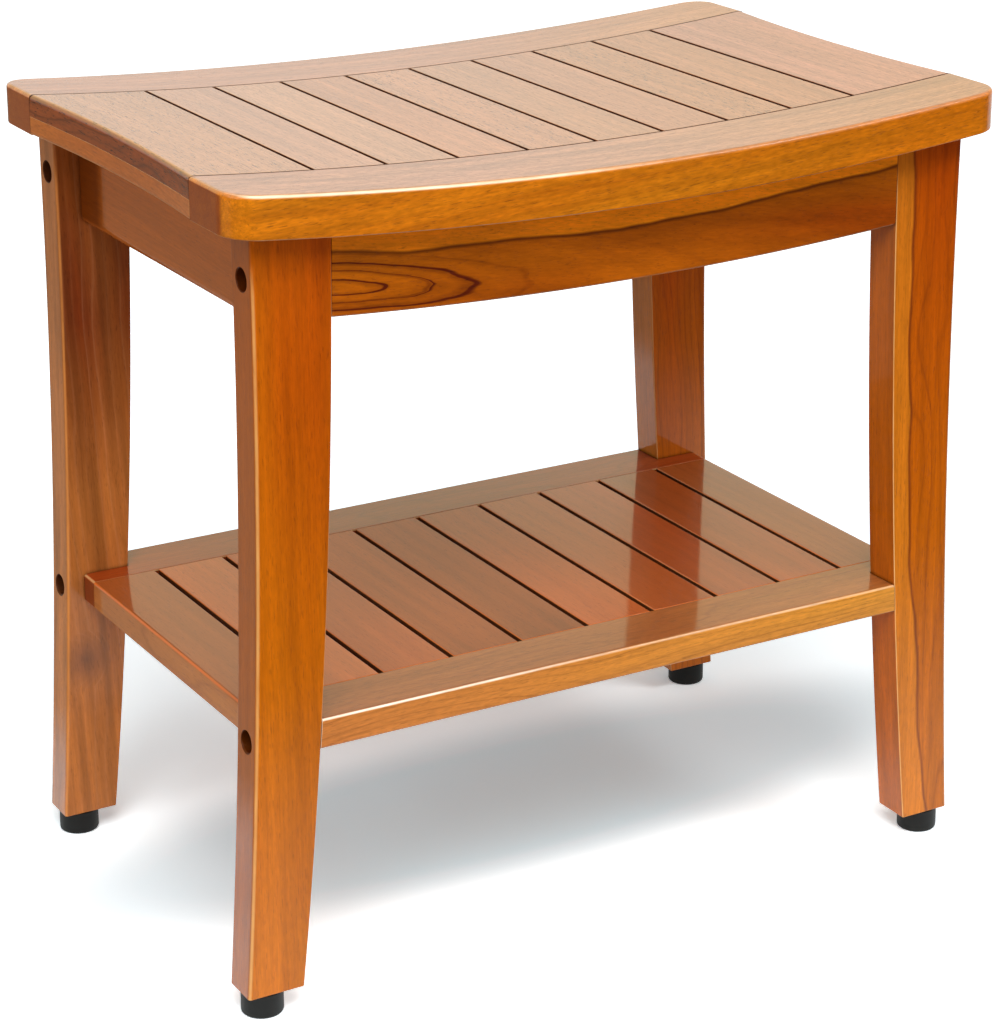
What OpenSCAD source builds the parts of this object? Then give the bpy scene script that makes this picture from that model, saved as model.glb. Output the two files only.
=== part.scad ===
// Shower bench of varnished teak: a dished slatted seat on two bowed rails, four curved legs
// joined by aprons, and a slatted shelf notched round the legs. X runs along the seat, Y from
// front to back, Z up from the floor. The origin is on the floor under the middle of the seat.

/* [Seat] */
// Length of the seat over its two ends
seat_len = 490; // [485:1:500]
// Height of the seat's raised ends above the floor
seat_h = 472.5; // [455:0.5:490]
// How far the middle of the seat dips below its ends
seat_dip = 11.5; // [8:0.5:14]
// Depth of the seat from front to back, at its middle
seat_depth = 326; // [322:1:332]
// How far each long edge draws in from the middle to the ends
seat_bow = 6.5; // [4:0.5:8]
// Radius of the seat's four corners, seen from above
seat_corner_r = 18; // [14:1:22]
// Thickness of the two curved seat rails
rail_t = 23.5; // [22:0.5:25]
// Thickness of the seat slats
seat_slat_t = 12.5; // [11.5:0.5:13.5]
// Clear distance between the two seat rails
seat_run = 216; // [212:1:220]
// Distance from one seat slat to the next
seat_pitch = 43.4; // [42:0.2:44.6]
// Gap between two seat slats
seat_gap = 2.2; // [1.5:0.1:3]
// Width of the batten under each end of the seat
batten_w = 57; // [54:1:60]

/* [Legs] */
// Distance over the front and back faces of the legs
frame_depth = 285; // [283:1:287]
// Thickness of a leg from front to back
leg_t = 24.5; // [24:0.5:26]
// Half the distance over the legs' outer edges at their narrowest level
leg_out_x = 227.2; // [226.5:0.1:228]
// Height of that narrowest level
leg_out_level = 381; // [375:1:390]
// How far the outer edge stands out again at the leg's bottom
leg_out_flare = 13; // [11:0.1:15]
// Half the distance between the legs' inner edges at their narrowest level
leg_in_x = 181.1; // [180:0.1:182]
// Height of the inner edge's narrowest level
leg_in_level = 475; // [465:1:485]
// How far the inner edge stands out at the leg's bottom
leg_in_flare = 25.2; // [24:0.1:27]

/* [Aprons] */
// Thickness of the front and back aprons
apron_t = 20; // [19:0.5:21]
// Distance from the seat's raised ends down to the front apron's lower edge at its middle
apron_drop = 82.5; // [79:0.5:86]
// How far that lower edge rises from the middle to the legs
apron_sag = 6.5; // [4:0.5:8]
// Thickness of the side aprons
side_apron_t = 18; // [16:1:18]
// Distance from the middle to a side apron's outer face
side_apron_x = 212.5; // [211:0.5:214]
// Distance from the seat's raised ends down to the side aprons' lower edge
side_apron_drop = 82.5; // [80:0.5:87]
// Radius of the rounded lower edge of a side apron
side_apron_r = 6; // [4:0.5:8]

/* [Shelf] */
// Height of the shelf's top face
shelf_z = 172; // [165:1:180]
// Thickness of the shelf
shelf_t = 17.5; // [17:0.5:19]
// Length of the shelf
shelf_len = 442; // [438:1:446]
// Clear distance between the shelf's two rails
shelf_run = 206; // [202:1:210]
// Distance from one shelf slat to the next
shelf_pitch = 45; // [43.5:0.1:46]
// Gap between two shelf slats
shelf_gap = 3; // [2:0.1:4]

/* [Feet] */
// Height of a foot pad under the leg, screwed right in
foot_h = 14.2; // [12:0.2:16]
// Diameter of a foot pad
foot_d = 24; // [22:0.5:26]
// Distance from the middle to a foot's centre, along the bench
foot_x = 226.5; // [225:0.5:228]

/* [Fasteners] */
// Length of the furniture bolts under their heads
bolt_len = 60; // [56:1:62]
// Distance from the seat's raised ends down to the bolts that hold the front and back aprons
apron_bolt_drop = 52; // [50:0.5:53]
// Depth of a barrel nut's axis inside the piece it holds
nut_inset = 25; // [22:1:28]

/* [Hidden] */
NODES = [
  "seat_front_rail", "seat_back_rail",
  "seat_slat_01", "seat_slat_02", "seat_slat_03", "seat_slat_04", "seat_slat_05",
  "seat_slat_06", "seat_slat_07", "seat_slat_08", "seat_slat_09", "seat_slat_10",
  "seat_batten_left", "seat_batten_right",
  "leg_front_left", "leg_back_left", "leg_front_right", "leg_back_right",
  "front_apron", "back_apron", "side_apron_left", "side_apron_right",
  "shelf_front_rail", "shelf_back_rail",
  "shelf_slat_01", "shelf_slat_02", "shelf_slat_03", "shelf_slat_04", "shelf_slat_05",
  "shelf_slat_06", "shelf_slat_07", "shelf_slat_08", "shelf_slat_09", "shelf_slat_10",
  "apron_bolts", "shelf_bolts", "apron_barrel_nuts", "shelf_barrel_nuts",
  "apron_dowels", "side_apron_dowels", "side_apron_screws", "long_apron_screws",
  "foot_inserts",
  "foot_stud_front_left", "foot_stud_back_left", "foot_stud_front_right", "foot_stud_back_right",
  "foot_pad_front_left", "foot_pad_back_left", "foot_pad_front_right", "foot_pad_back_right",
];
node = "all";
SLATS = 10;
SIDES = [-1, 1];
CORNERS = [for (sx = SIDES, sy = SIDES) [sx, sy]];

eps = 0.01;
reach = 700;       // longer than the bench in every direction
long_arc_fn = 2160;
round_fn = 64;

leg_y = frame_depth / 2;
bolt_y = leg_y - leg_t / 2;
shelf_mid_z = shelf_z - shelf_t / 2;

bolt_r = 3;
bolt_bore_r = 3.5;
bolt_head_r = 5;
bolt_head_h = 6;
hex_af = 5;
hex_deep = 3;
counterbore_r = 6.3;
bolt_past_nut = 8;
nut_r = 5;
nut_len = 13;

dowel_r = 4;
dowel_in_leg = 11;
dowel_in_apron = 15;
dowel_rise = 13.5;
side_dowel_drops = [38.5, 72.5];

screw_r = 2;
screw_head_r = 4;
screw_head_h = 3;
screw_grip = 18;
screw_in_seat = 20;
screw_bore_r = 2.3;
screw_well_r = 5;
side_screw_y = 60;
long_screw_x = 95;

tongue_t = 5;
tongue_len = 6;
groove_len = 6.3;
tongue_drop = 4;
groove_stop = 8;

stud_r = 4;
stud_up = 20;
stud_in_pad = 9;
stud_room = 0.6;
stud_over = 3;
insert_r = 6;
insert_bore_r = 4.05;
insert_len = 14;
pad_gap = 0.2;
pad_edge = 1.5;

// Radius of the arc that rises by sag over half a chord.
function arc_r(half_chord, sag) = (half_chord * half_chord + sag * sag) / (2 * sag);
// How far that arc has risen at a distance x from its lowest point.
function arc_rise(r, x) = r - sqrt(r * r - x * x);

dish_r = arc_r(seat_len / 2, seat_dip);
dish_z = seat_h - seat_dip + dish_r;
bow_r = arc_r(seat_len / 2, seat_bow);
bow_y = bow_r - seat_depth / 2;
leg_out_r = arc_r(leg_out_level - foot_h, leg_out_flare);
leg_in_r = arc_r(leg_in_level - foot_h, leg_in_flare);
apron_low_r = arc_r(leg_in_x, apron_sag);

function leg_in_at(z) = leg_in_x + arc_rise(leg_in_r, leg_in_level - z);
function seat_under_at(x) = dish_z - sqrt(pow(dish_r + rail_t, 2) - x * x);

apron_low_z = seat_h - apron_drop;
apron_bolt_z = seat_h - apron_bolt_drop;
side_apron_z = seat_h - side_apron_drop;
side_dowel_z = [for (d = side_dowel_drops) seat_h - d];
apron_end_x = leg_in_at(apron_bolt_z);
shelf_rail_end_x = leg_in_at(shelf_mid_z);
apron_nut_x = apron_end_x - nut_inset;
shelf_nut_x = shelf_rail_end_x - nut_inset;
// Where a bolt's head sits in the leg: the shank runs from there past the nut.
apron_head_x = apron_nut_x + bolt_len - bolt_past_nut;
shelf_head_x = shelf_nut_x + bolt_len - bolt_past_nut;
side_apron_mid = side_apron_x - side_apron_t / 2;

/* ---- shared shapes ---- */

// A box from its lowest to its highest corner.
module span(lo, hi) {
  translate(lo) cube([hi[0] - lo[0], hi[1] - lo[1], hi[2] - lo[2]]);
}

// A bar along Y whose outline is drawn in X and Z.
module along_y(y0, y1) {
  translate([0, y1, 0]) rotate([90, 0, 0]) linear_extrude(y1 - y0) children();
}

module drill_x(r, x0, x1, y, z) {
  translate([x0, y, z]) rotate([0, 90, 0]) cylinder(r = r, h = x1 - x0, $fn = round_fn);
}

module drill_y(r, x, y0, y1, z) {
  translate([x, y1, z]) rotate([90, 0, 0]) cylinder(r = r, h = y1 - y0, $fn = round_fn);
}

module drill_z(r, x, y, z0, z1) {
  translate([x, y, z0]) cylinder(r = r, h = z1 - z0, $fn = round_fn);
}

// Repeats a shape that is drawn for the right-hand side on the side sx.
module on_side(sx) {
  if (sx > 0) children();
  else mirror([1, 0, 0]) children();
}

// Repeats a shape that is drawn for the back on the side sy.
module at_depth(sy) {
  if (sy > 0) children();
  else mirror([0, 1, 0]) children();
}

// The layer of the dished seat from depth d0 to depth d1 below its top, drawn in X and Z.
module dish_layer_2d(d0, d1) {
  translate([0, dish_z]) difference() {
    circle(r = dish_r + d1, $fn = long_arc_fn);
    circle(r = dish_r + d0, $fn = long_arc_fn);
  }
}

module dish_layer(x0, x1, y0, y1, d0, d1) {
  intersection() {
    along_y(y0, y1) dish_layer_2d(d0, d1);
    span([x0, y0 - 1, 0], [x1, y1 + 1, reach]);
  }
}

// Everything above the seat's underside, taken away from what stands under it.
module above_seat_under_2d() {
  translate([0, dish_z]) circle(r = dish_r + rail_t, $fn = long_arc_fn);
}

/* ---- seat ---- */

// The seat from above: two bowed long edges and four round corners.
module seat_plan() {
  cx = seat_len / 2 - seat_corner_r;
  turn = asin(cx / (bow_r - seat_corner_r));
  cy = (bow_r - seat_corner_r) * cos(turn) - bow_y;
  difference() {
    intersection() {
      square([seat_len, seat_depth], center = true);
      between_bows();
    }
    for (c = CORNERS) in_corner(c) difference() {
      translate([cx, cy]) polygon([[0, 0], [reach, 0], [reach, reach],
                                   [reach * sin(turn), reach * cos(turn)]]);
      translate([cx, cy]) circle(r = seat_corner_r, $fn = round_fn * 2);
    }
  }
}

// The field between the two bowed edges.
module between_bows() {
  intersection() {
    translate([0, bow_y]) circle(r = bow_r, $fn = long_arc_fn);
    translate([0, -bow_y]) circle(r = bow_r, $fn = long_arc_fn);
  }
}

// Repeats a shape that is drawn for the right-hand back corner in the corner c.
module in_corner(c) {
  on_side(c[0]) at_depth(c[1]) children();
}

// One of the two curved rails, grooved along its inner side for the slats' tongues.
module back_seat_rail() {
  y0 = seat_run / 2;
  difference() {
    intersection() {
      linear_extrude(reach) seat_plan();
      dish_layer(-seat_len, seat_len, y0, seat_depth, 0, rail_t);
    }
    dish_layer(-seat_len / 2 + groove_stop, seat_len / 2 - groove_stop, y0 - 1, y0 + groove_len,
               tongue_drop, tongue_drop + tongue_t);
    for (sx = SIDES) drill_z(screw_r, sx * long_screw_x, bolt_y - 1,
                             0, seat_under_at(long_screw_x) + screw_in_seat);
  }
}

module seat_front_rail() { color("#C8741A") mirror([0, 1, 0]) back_seat_rail(); }
module seat_back_rail() { color("#C4701C") back_seat_rail(); }

// Slat i of the seat, counted from the left. The first and the last reach to the seat's ends.
module seat_slat(i) {
  x0 = i == 0 ? -seat_len / 2 : (i - SLATS / 2) * seat_pitch + seat_gap / 2;
  x1 = i == SLATS - 1 ? seat_len / 2 : (i + 1 - SLATS / 2) * seat_pitch - seat_gap / 2;
  lim = seat_len / 2 - groove_stop - 1;
  color(i % 2 == 0 ? "#D9AE88" : "#CFA27C") difference() {
    union() {
      dish_layer(x0, x1, -seat_run / 2, seat_run / 2, 0, seat_slat_t);
      dish_layer(max(x0, -lim), min(x1, lim), -seat_run / 2 - tongue_len, seat_run / 2 + tongue_len,
                 tongue_drop, tongue_drop + tongue_t);
    }
    if (i == 0 || i == SLATS - 1) side_screw_pilots();
  }
}

// Small holes for the points of the four screws that come up through the side aprons.
module side_screw_pilots() {
  for (c = CORNERS) drill_z(screw_r, c[0] * side_apron_mid, c[1] * side_screw_y,
                            0, seat_under_at(side_apron_mid) + screw_in_seat);
}

module seat_batten(sx) {
  color("#B8834F") on_side(sx) difference() {
    dish_layer(seat_len / 2 - batten_w, seat_len / 2, -seat_run / 2, seat_run / 2,
               seat_slat_t, rail_t);
    side_screw_pilots();
  }
}

/* ---- legs ---- */

// A leg's outline in X and Z: two long arcs, cut off under the dished seat and above the foot.
module leg_2d() {
  difference() {
    intersection() {
      translate([0, foot_h]) square([seat_len, seat_h]);
      translate([leg_in_x + leg_in_r, leg_in_level]) circle(r = leg_in_r, $fn = long_arc_fn * 2);
    }
    translate([leg_out_x + leg_out_r, leg_out_level]) circle(r = leg_out_r, $fn = long_arc_fn * 2);
    above_seat_under_2d();
  }
}

// The right-hand back leg; the other three are its mirror images.
module leg() {
  y0 = leg_y - leg_t;
  difference() {
    along_y(y0, leg_y) leg_2d();
    for (b = [[apron_head_x, apron_bolt_z], [shelf_head_x, shelf_mid_z]]) {
      drill_x(bolt_bore_r, leg_in_x - 10, seat_len, bolt_y, b[1]);
      drill_x(counterbore_r, b[0], seat_len, bolt_y, b[1]);
    }
    for (s = SIDES)
      drill_x(dowel_r, leg_in_x - 10, apron_end_x + dowel_in_leg, bolt_y, apron_bolt_z + s * dowel_rise);
    for (z = side_dowel_z) drill_y(dowel_r, side_apron_mid, y0 - 1, y0 + dowel_in_leg, z);
    drill_z(insert_r, foot_x, bolt_y, 0, foot_h + insert_len);
    drill_z(stud_r + stud_room, foot_x, bolt_y, 0, foot_h + stud_up + stud_over);
  }
}

module placed_leg(c) {
  color(c[1] < 0 ? "#B9601F" : "#9A5226") in_corner(c) leg();
}

/* ---- aprons ---- */

module back_apron_solid() {
  y0 = leg_y - apron_t;
  difference() {
    along_y(y0, leg_y) difference() {
      translate([0, apron_low_z + apron_low_r]) circle(r = apron_low_r, $fn = long_arc_fn);
      above_seat_under_2d();
      for (sx = SIDES) mirror([sx < 0 ? 1 : 0, 0])
        translate([leg_in_x + leg_in_r, leg_in_level]) circle(r = leg_in_r, $fn = long_arc_fn * 2);
      translate([-reach * 8, seat_h]) square([reach * 16, reach * 16]);
    }
    for (sx = SIDES) on_side(sx) {
      drill_x(bolt_bore_r, apron_nut_x - 14, seat_len, bolt_y, apron_bolt_z);
      drill_y(nut_r, apron_nut_x, y0 - 1, bolt_y + nut_len / 2, apron_bolt_z);
      for (s = SIDES) drill_x(dowel_r, apron_end_x - dowel_in_apron, seat_len, bolt_y,
                              apron_bolt_z + s * dowel_rise);
      drill_z(screw_bore_r, long_screw_x, bolt_y - 1, 0, reach);
      drill_z(screw_well_r, long_screw_x, bolt_y - 1, 0, seat_under_at(long_screw_x) - screw_grip);
    }
  }
}

module front_apron() { color("#A8561C") mirror([0, 1, 0]) back_apron_solid(); }
module back_apron() { color("#A8561C") back_apron_solid(); }

module side_apron(sx) {
  y1 = leg_y - leg_t;
  color("#8A5038") on_side(sx) difference() {
    along_y(-y1, y1) difference() {
      side_apron_2d();
      above_seat_under_2d();
    }
    for (sy = SIDES) at_depth(sy) {
      for (z = side_dowel_z) drill_y(dowel_r, side_apron_mid, y1 - dowel_in_apron, y1 + 1, z);
      drill_z(screw_bore_r, side_apron_mid, side_screw_y, 0, reach);
      drill_z(screw_well_r, side_apron_mid, side_screw_y, 0, seat_under_at(side_apron_mid) - screw_grip);
    }
  }
}

module side_apron_2d() {
  difference() {
    translate([side_apron_x - side_apron_t, side_apron_z]) square([side_apron_t, seat_h - side_apron_z]);
    translate([side_apron_x - side_apron_r, side_apron_z + side_apron_r]) difference() {
      translate([0, -2 * side_apron_r]) square(2 * side_apron_r);
      circle(r = side_apron_r, $fn = round_fn);
    }
  }
}

/* ---- shelf ---- */

// The back rail of the shelf: full depth between the legs, narrower where it passes behind them.
module back_shelf_rail() {
  y0 = shelf_run / 2;
  z0 = shelf_z - shelf_t;
  difference() {
    span([-shelf_len / 2, y0, z0], [shelf_len / 2, leg_y, shelf_z]);
    for (sx = SIDES) on_side(sx) {
      along_y(leg_y - leg_t, leg_y + 1)
        translate([leg_in_x + leg_in_r, leg_in_level]) circle(r = leg_in_r, $fn = long_arc_fn * 2);
      drill_x(bolt_bore_r, shelf_nut_x - 14, seat_len, bolt_y, shelf_mid_z);
      drill_z(nut_r, shelf_nut_x, bolt_y, 0, shelf_mid_z + nut_len / 2);
    }
    span([-shelf_len / 2 + groove_stop, y0 - 1, shelf_mid_z - tongue_t / 2],
         [shelf_len / 2 - groove_stop, y0 + groove_len, shelf_mid_z + tongue_t / 2]);
  }
}

module shelf_front_rail() { color("#C9802F") mirror([0, 1, 0]) back_shelf_rail(); }
module shelf_back_rail() { color("#B5703A") back_shelf_rail(); }

module shelf_slat(i) {
  x0 = i == 0 ? -shelf_len / 2 : (i - SLATS / 2) * shelf_pitch + shelf_gap / 2;
  x1 = i == SLATS - 1 ? shelf_len / 2 : (i + 1 - SLATS / 2) * shelf_pitch - shelf_gap / 2;
  lim = shelf_len / 2 - groove_stop - 1;
  y1 = shelf_run / 2;
  color(i % 2 == 0 ? "#B27F58" : "#A8744C") union() {
    span([x0, -y1, shelf_z - shelf_t], [x1, y1, shelf_z]);
    span([max(x0, -lim), -y1 - tongue_len, shelf_mid_z - tongue_t / 2],
         [min(x1, lim), y1 + tongue_len, shelf_mid_z + tongue_t / 2]);
  }
}

/* ---- fasteners ---- */

// A socket-head bolt whose head sits at head_x and whose shank points to the middle.
module bolt(head_x, z) {
  translate([head_x, bolt_y, z]) rotate([0, 90, 0]) difference() {
    union() {
      translate([0, 0, -bolt_len]) cylinder(r = bolt_r, h = bolt_len + eps, $fn = round_fn);
      cylinder(r = bolt_head_r, h = bolt_head_h, $fn = round_fn);
    }
    translate([0, 0, bolt_head_h - hex_deep])
      cylinder(d = hex_af / cos(30), h = hex_deep + 1, $fn = 6);
  }
}

module apron_bolts() { color("#4A4743") for (c = CORNERS) in_corner(c) bolt(apron_head_x, apron_bolt_z); }
module shelf_bolts() { color("#4A4743") for (c = CORNERS) in_corner(c) bolt(shelf_head_x, shelf_mid_z); }

// The nuts in the aprons lie front to back, put in from the bench's inside.
module apron_barrel_nuts() {
  color("#9C9484") for (c = CORNERS) in_corner(c) difference() {
    drill_y(nut_r, apron_nut_x, bolt_y - nut_len / 2, bolt_y + nut_len / 2, apron_bolt_z);
    drill_x(bolt_r, apron_nut_x - 2 * nut_r, apron_nut_x + 2 * nut_r, bolt_y, apron_bolt_z);
  }
}

// The nuts in the shelf rails stand upright, put in from below.
module shelf_barrel_nuts() {
  color("#9C9484") for (c = CORNERS) in_corner(c) difference() {
    drill_z(nut_r, shelf_nut_x, bolt_y, shelf_mid_z - nut_len / 2, shelf_mid_z + nut_len / 2);
    drill_x(bolt_r, shelf_nut_x - 2 * nut_r, shelf_nut_x + 2 * nut_r, bolt_y, shelf_mid_z);
  }
}

module apron_dowels() {
  color("#D8C09A") for (c = CORNERS, s = SIDES) in_corner(c)
    drill_x(dowel_r, apron_end_x - dowel_in_apron, apron_end_x + dowel_in_leg, bolt_y,
            apron_bolt_z + s * dowel_rise);
}

module side_apron_dowels() {
  y1 = leg_y - leg_t;
  color("#D8C09A") for (c = CORNERS, z = side_dowel_z) in_corner(c)
    drill_y(dowel_r, side_apron_mid, y1 - dowel_in_apron, y1 + dowel_in_leg, z);
}

// A wood screw that comes up from its well into the seat above.
module seat_screw(x, y) {
  z = seat_under_at(x) - screw_grip;
  drill_z(screw_head_r, x, y, z - screw_head_h, z);
  drill_z(screw_r, x, y, z - eps, seat_under_at(x) + screw_in_seat);
}

module side_apron_screws() {
  color("#8C8A86") for (c = CORNERS) in_corner(c) seat_screw(side_apron_mid, side_screw_y);
}

module long_apron_screws() {
  color("#8C8A86") for (c = CORNERS) in_corner(c) seat_screw(long_screw_x, bolt_y - 1);
}

/* ---- feet ---- */

// The threaded bush pressed into the bottom of each leg.
module foot_inserts() {
  color("#B08A3E") for (c = CORNERS) in_corner(c) difference() {
    drill_z(insert_r, foot_x, bolt_y, foot_h, foot_h + insert_len);
    drill_z(insert_bore_r, foot_x, bolt_y, 0, seat_h);
  }
}

module foot_stud(c) {
  color("#8F8F8C") in_corner(c)
    drill_z(stud_r, foot_x, bolt_y, foot_h - stud_in_pad, foot_h + stud_up);
}

// A round pad with a small bevel round its foot and a blind hole for its stud.
module foot_pad(c) {
  r = foot_d / 2;
  top = foot_h - pad_gap;
  color("#1C1C1A") in_corner(c) translate([foot_x, bolt_y, 0])
    rotate_extrude($fn = round_fn * 2)
      polygon([[0, 0], [r - pad_edge, 0], [r, pad_edge], [r, top - 0.5], [r - 0.5, top],
               [stud_r, top], [stud_r, foot_h - stud_in_pad], [0, foot_h - stud_in_pad]]);
}

/* ---- the nodes ---- */

CORNER_NAMES = ["front_left", "back_left", "front_right", "back_right"];
SIDE_NAMES = ["left", "right"];

function wanted(name) = node == "all" || node == name;
function slat_name(kind, i) = str(kind, i < 9 ? "_slat_0" : "_slat_", i + 1);

if (wanted("seat_front_rail")) seat_front_rail();
if (wanted("seat_back_rail")) seat_back_rail();
for (i = [0 : SLATS - 1]) {
  if (wanted(slat_name("seat", i))) seat_slat(i);
  if (wanted(slat_name("shelf", i))) shelf_slat(i);
}
for (k = [0, 1]) {
  if (wanted(str("seat_batten_", SIDE_NAMES[k]))) seat_batten(SIDES[k]);
  if (wanted(str("side_apron_", SIDE_NAMES[k]))) side_apron(SIDES[k]);
}
for (k = [0 : 3]) {
  if (wanted(str("leg_", CORNER_NAMES[k]))) placed_leg(CORNERS[k]);
  if (wanted(str("foot_stud_", CORNER_NAMES[k]))) foot_stud(CORNERS[k]);
  if (wanted(str("foot_pad_", CORNER_NAMES[k]))) foot_pad(CORNERS[k]);
}
if (wanted("front_apron")) front_apron();
if (wanted("back_apron")) back_apron();
if (wanted("shelf_front_rail")) shelf_front_rail();
if (wanted("shelf_back_rail")) shelf_back_rail();
if (wanted("apron_bolts")) apron_bolts();
if (wanted("shelf_bolts")) shelf_bolts();
if (wanted("apron_barrel_nuts")) apron_barrel_nuts();
if (wanted("shelf_barrel_nuts")) shelf_barrel_nuts();
if (wanted("apron_dowels")) apron_dowels();
if (wanted("side_apron_dowels")) side_apron_dowels();
if (wanted("side_apron_screws")) side_apron_screws();
if (wanted("long_apron_screws")) long_apron_screws();
if (wanted("foot_inserts")) foot_inserts();
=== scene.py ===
# %% [markdown]
# # A varnished teak shower bench
# This lesson dresses a small slatted bench: a dished seat on two bowed rails, four curved legs,
# aprons, a slatted shelf and four screw feet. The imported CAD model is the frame. The boards are
# built again here with softly rounded arrises, in the same places and sizes, because the light
# that runs along a rounded varnished edge is what makes such furniture look real. Lengths are
# in millimetres here and turned to metres once, where points become a mesh.

import math

import bmesh
import bpy
from mathutils import Euler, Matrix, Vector


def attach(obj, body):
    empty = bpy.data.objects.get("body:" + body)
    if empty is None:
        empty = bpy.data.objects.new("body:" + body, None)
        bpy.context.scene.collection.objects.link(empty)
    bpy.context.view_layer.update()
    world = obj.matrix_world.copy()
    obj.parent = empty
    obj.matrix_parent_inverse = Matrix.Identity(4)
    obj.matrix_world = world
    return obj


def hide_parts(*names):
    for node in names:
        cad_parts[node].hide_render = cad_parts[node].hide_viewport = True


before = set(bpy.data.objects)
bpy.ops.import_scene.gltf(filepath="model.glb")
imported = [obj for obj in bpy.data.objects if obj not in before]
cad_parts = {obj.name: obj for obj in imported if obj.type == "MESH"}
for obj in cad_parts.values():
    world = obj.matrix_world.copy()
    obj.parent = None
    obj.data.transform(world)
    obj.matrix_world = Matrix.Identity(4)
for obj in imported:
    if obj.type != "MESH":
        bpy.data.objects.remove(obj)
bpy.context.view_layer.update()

# %% [markdown]
# ## Camera
# The bench was seen from its left front corner and a little above, through a long lens from
# just under two metres. A camera object takes its place and turn directly. The picture's middle
# lies a little below the lens axis, and the lens is shifted for that rather than tilted more.

# %% Camera
MM = 0.001
IMAGE_H = 1035            # the picture's height in pixels
SENSOR = 36.0             # the height of the film, mm
FOCAL_PX = 3036.6         # the focal length in those pixels
AXIS_ROW = 381.3          # the pixel row that the lens axis meets
CAMERA_AT = Vector((-862.20, -1485.22, 854.07))
CAMERA_YAW = 30.178       # degrees to the right of straight back
CAMERA_PITCH = 18.131     # degrees down

lens = bpy.data.cameras.new("camera")
lens.sensor_width = SENSOR
lens.lens = FOCAL_PX * SENSOR / IMAGE_H
lens.shift_y = -(IMAGE_H / 2 - AXIS_ROW) / IMAGE_H
camera = bpy.data.objects.new("camera", lens)
camera.location = CAMERA_AT * MM
camera.rotation_euler = (math.radians(90 - CAMERA_PITCH), 0, math.radians(-CAMERA_YAW))
bpy.context.scene.collection.objects.link(camera)
bpy.context.scene.camera = camera
print("lens", round(lens.lens, 1), "mm, shift", round(lens.shift_y, 4))

# %% [markdown]
# ## Colours and shader nodes
# Colours are written as sRGB hex, the way a paint or stain chart gives them, and turned to
# linear light once. One small function adds any shader node with its settings and its links.
# It takes a whole node where a link is wanted, and then uses that node's first output.

# %% Colour and node helpers
def linear(hex_code):
    """A colour such as #C8741A as linear red, green, blue and alpha."""
    values = [int(hex_code[i:i + 2], 16) / 255 for i in (1, 3, 5)]
    return [v / 12.92 if v <= 0.04045 else ((v + 0.055) / 1.055) ** 2.4 for v in values] + [1.0]


def add(tree, kind, settings=None, links=None):
    """One node: settings are its properties, links its inputs, as values, sockets or nodes."""
    made = tree.nodes.new("ShaderNode" + kind)
    for key, value in (settings or {}).items():
        setattr(made, key, value)
    for key, value in (links or {}).items():
        if isinstance(value, bpy.types.Node):
            value = value.outputs[0]
        if isinstance(value, bpy.types.NodeSocket):
            tree.links.new(value, made.inputs[key])
        else:
            made.inputs[key].default_value = value
    return made


def new_material(name):
    """An empty material with its output node, and its tree."""
    made = bpy.data.materials.new(name)
    made.use_nodes = True
    made.node_tree.nodes.clear()
    return made, made.node_tree


print("stained teak in linear light:", [round(v, 3) for v in linear("#BB660A")])

# %% [markdown]
# ## Floor, room and lamps
# The bench stood on white paper in a photo studio. A wide plane takes its shadow. Varnished wood
# shows its own colour and, over it, whatever it mirrors: pale wall on the seat, bright paper on
# the shelf, tan floor and a dark room where the paper ends. So the floor and the room have two
# levels. What the camera sees and what a reflection shows is set here, while the light
# that falls on the wood stays even, so that a colour renders about as it is written.

# %% Floor
FLOOR_HALF = 12.0

stage_mesh = bpy.data.meshes.new("floor")
stage_mesh.from_pydata([(-FLOOR_HALF, -FLOOR_HALF, 0), (FLOOR_HALF, -FLOOR_HALF, 0),
                        (FLOOR_HALF, FLOOR_HALF, 0), (-FLOOR_HALF, FLOOR_HALF, 0)], [], [(0, 1, 2, 3)])
floor = bpy.data.objects.new("floor", stage_mesh)
bpy.context.scene.collection.objects.link(floor)
print("floor", 2 * FLOOR_HALF, "m square")


# %% Rays that look
def seen_or_mirrored(tree):
    """1 for a ray of the camera, a reflection or a look through glass, and 0 for other light."""
    path = add(tree, "LightPath")
    seen = add(tree, "Math", {"operation": "MAXIMUM"},
               {0: path.outputs["Is Camera Ray"], 1: path.outputs["Is Glossy Ray"]})
    return add(tree, "Math", {"operation": "MAXIMUM"}, {0: seen, 1: path.outputs["Is Transmission Ray"]})


# %% [markdown]
# The paper is plain white to all other light. Seen or mirrored, it glows a little, more so far
# away, and it is darker in an oval under the bench, where the shelf keeps the lamps' light off.
# A shadow under warm wood would be warm; the tints there take that out again.

# %% Paper
SHADE_OVAL = (1.0, 3.6, 1.0)       # the oval is this much narrower than long
SHADE_AT = (-0.03, -0.11, 0.0)
SHADE_EDGE = (0.22, 0.42)          # from the shade to the open paper, in metres
GLOW_REACH = (0.6, 5.0)            # the glow grows between these distances, in metres,
GLOW = (0.20, 0.80)                # from this level to that
BLACK = (0, 0, 0, 1)
MIDDLE_TINT = (0.70, 0.94, 1.05, 1)
SIDE_TINT = (0.72, 0.84, 0.89, 1)
TINT_REACH = (0.08, 0.19)          # from the middle tint to the side tint, in metres
OPEN_TINT = (1.36, 1.48, 1.52, 1)

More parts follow.
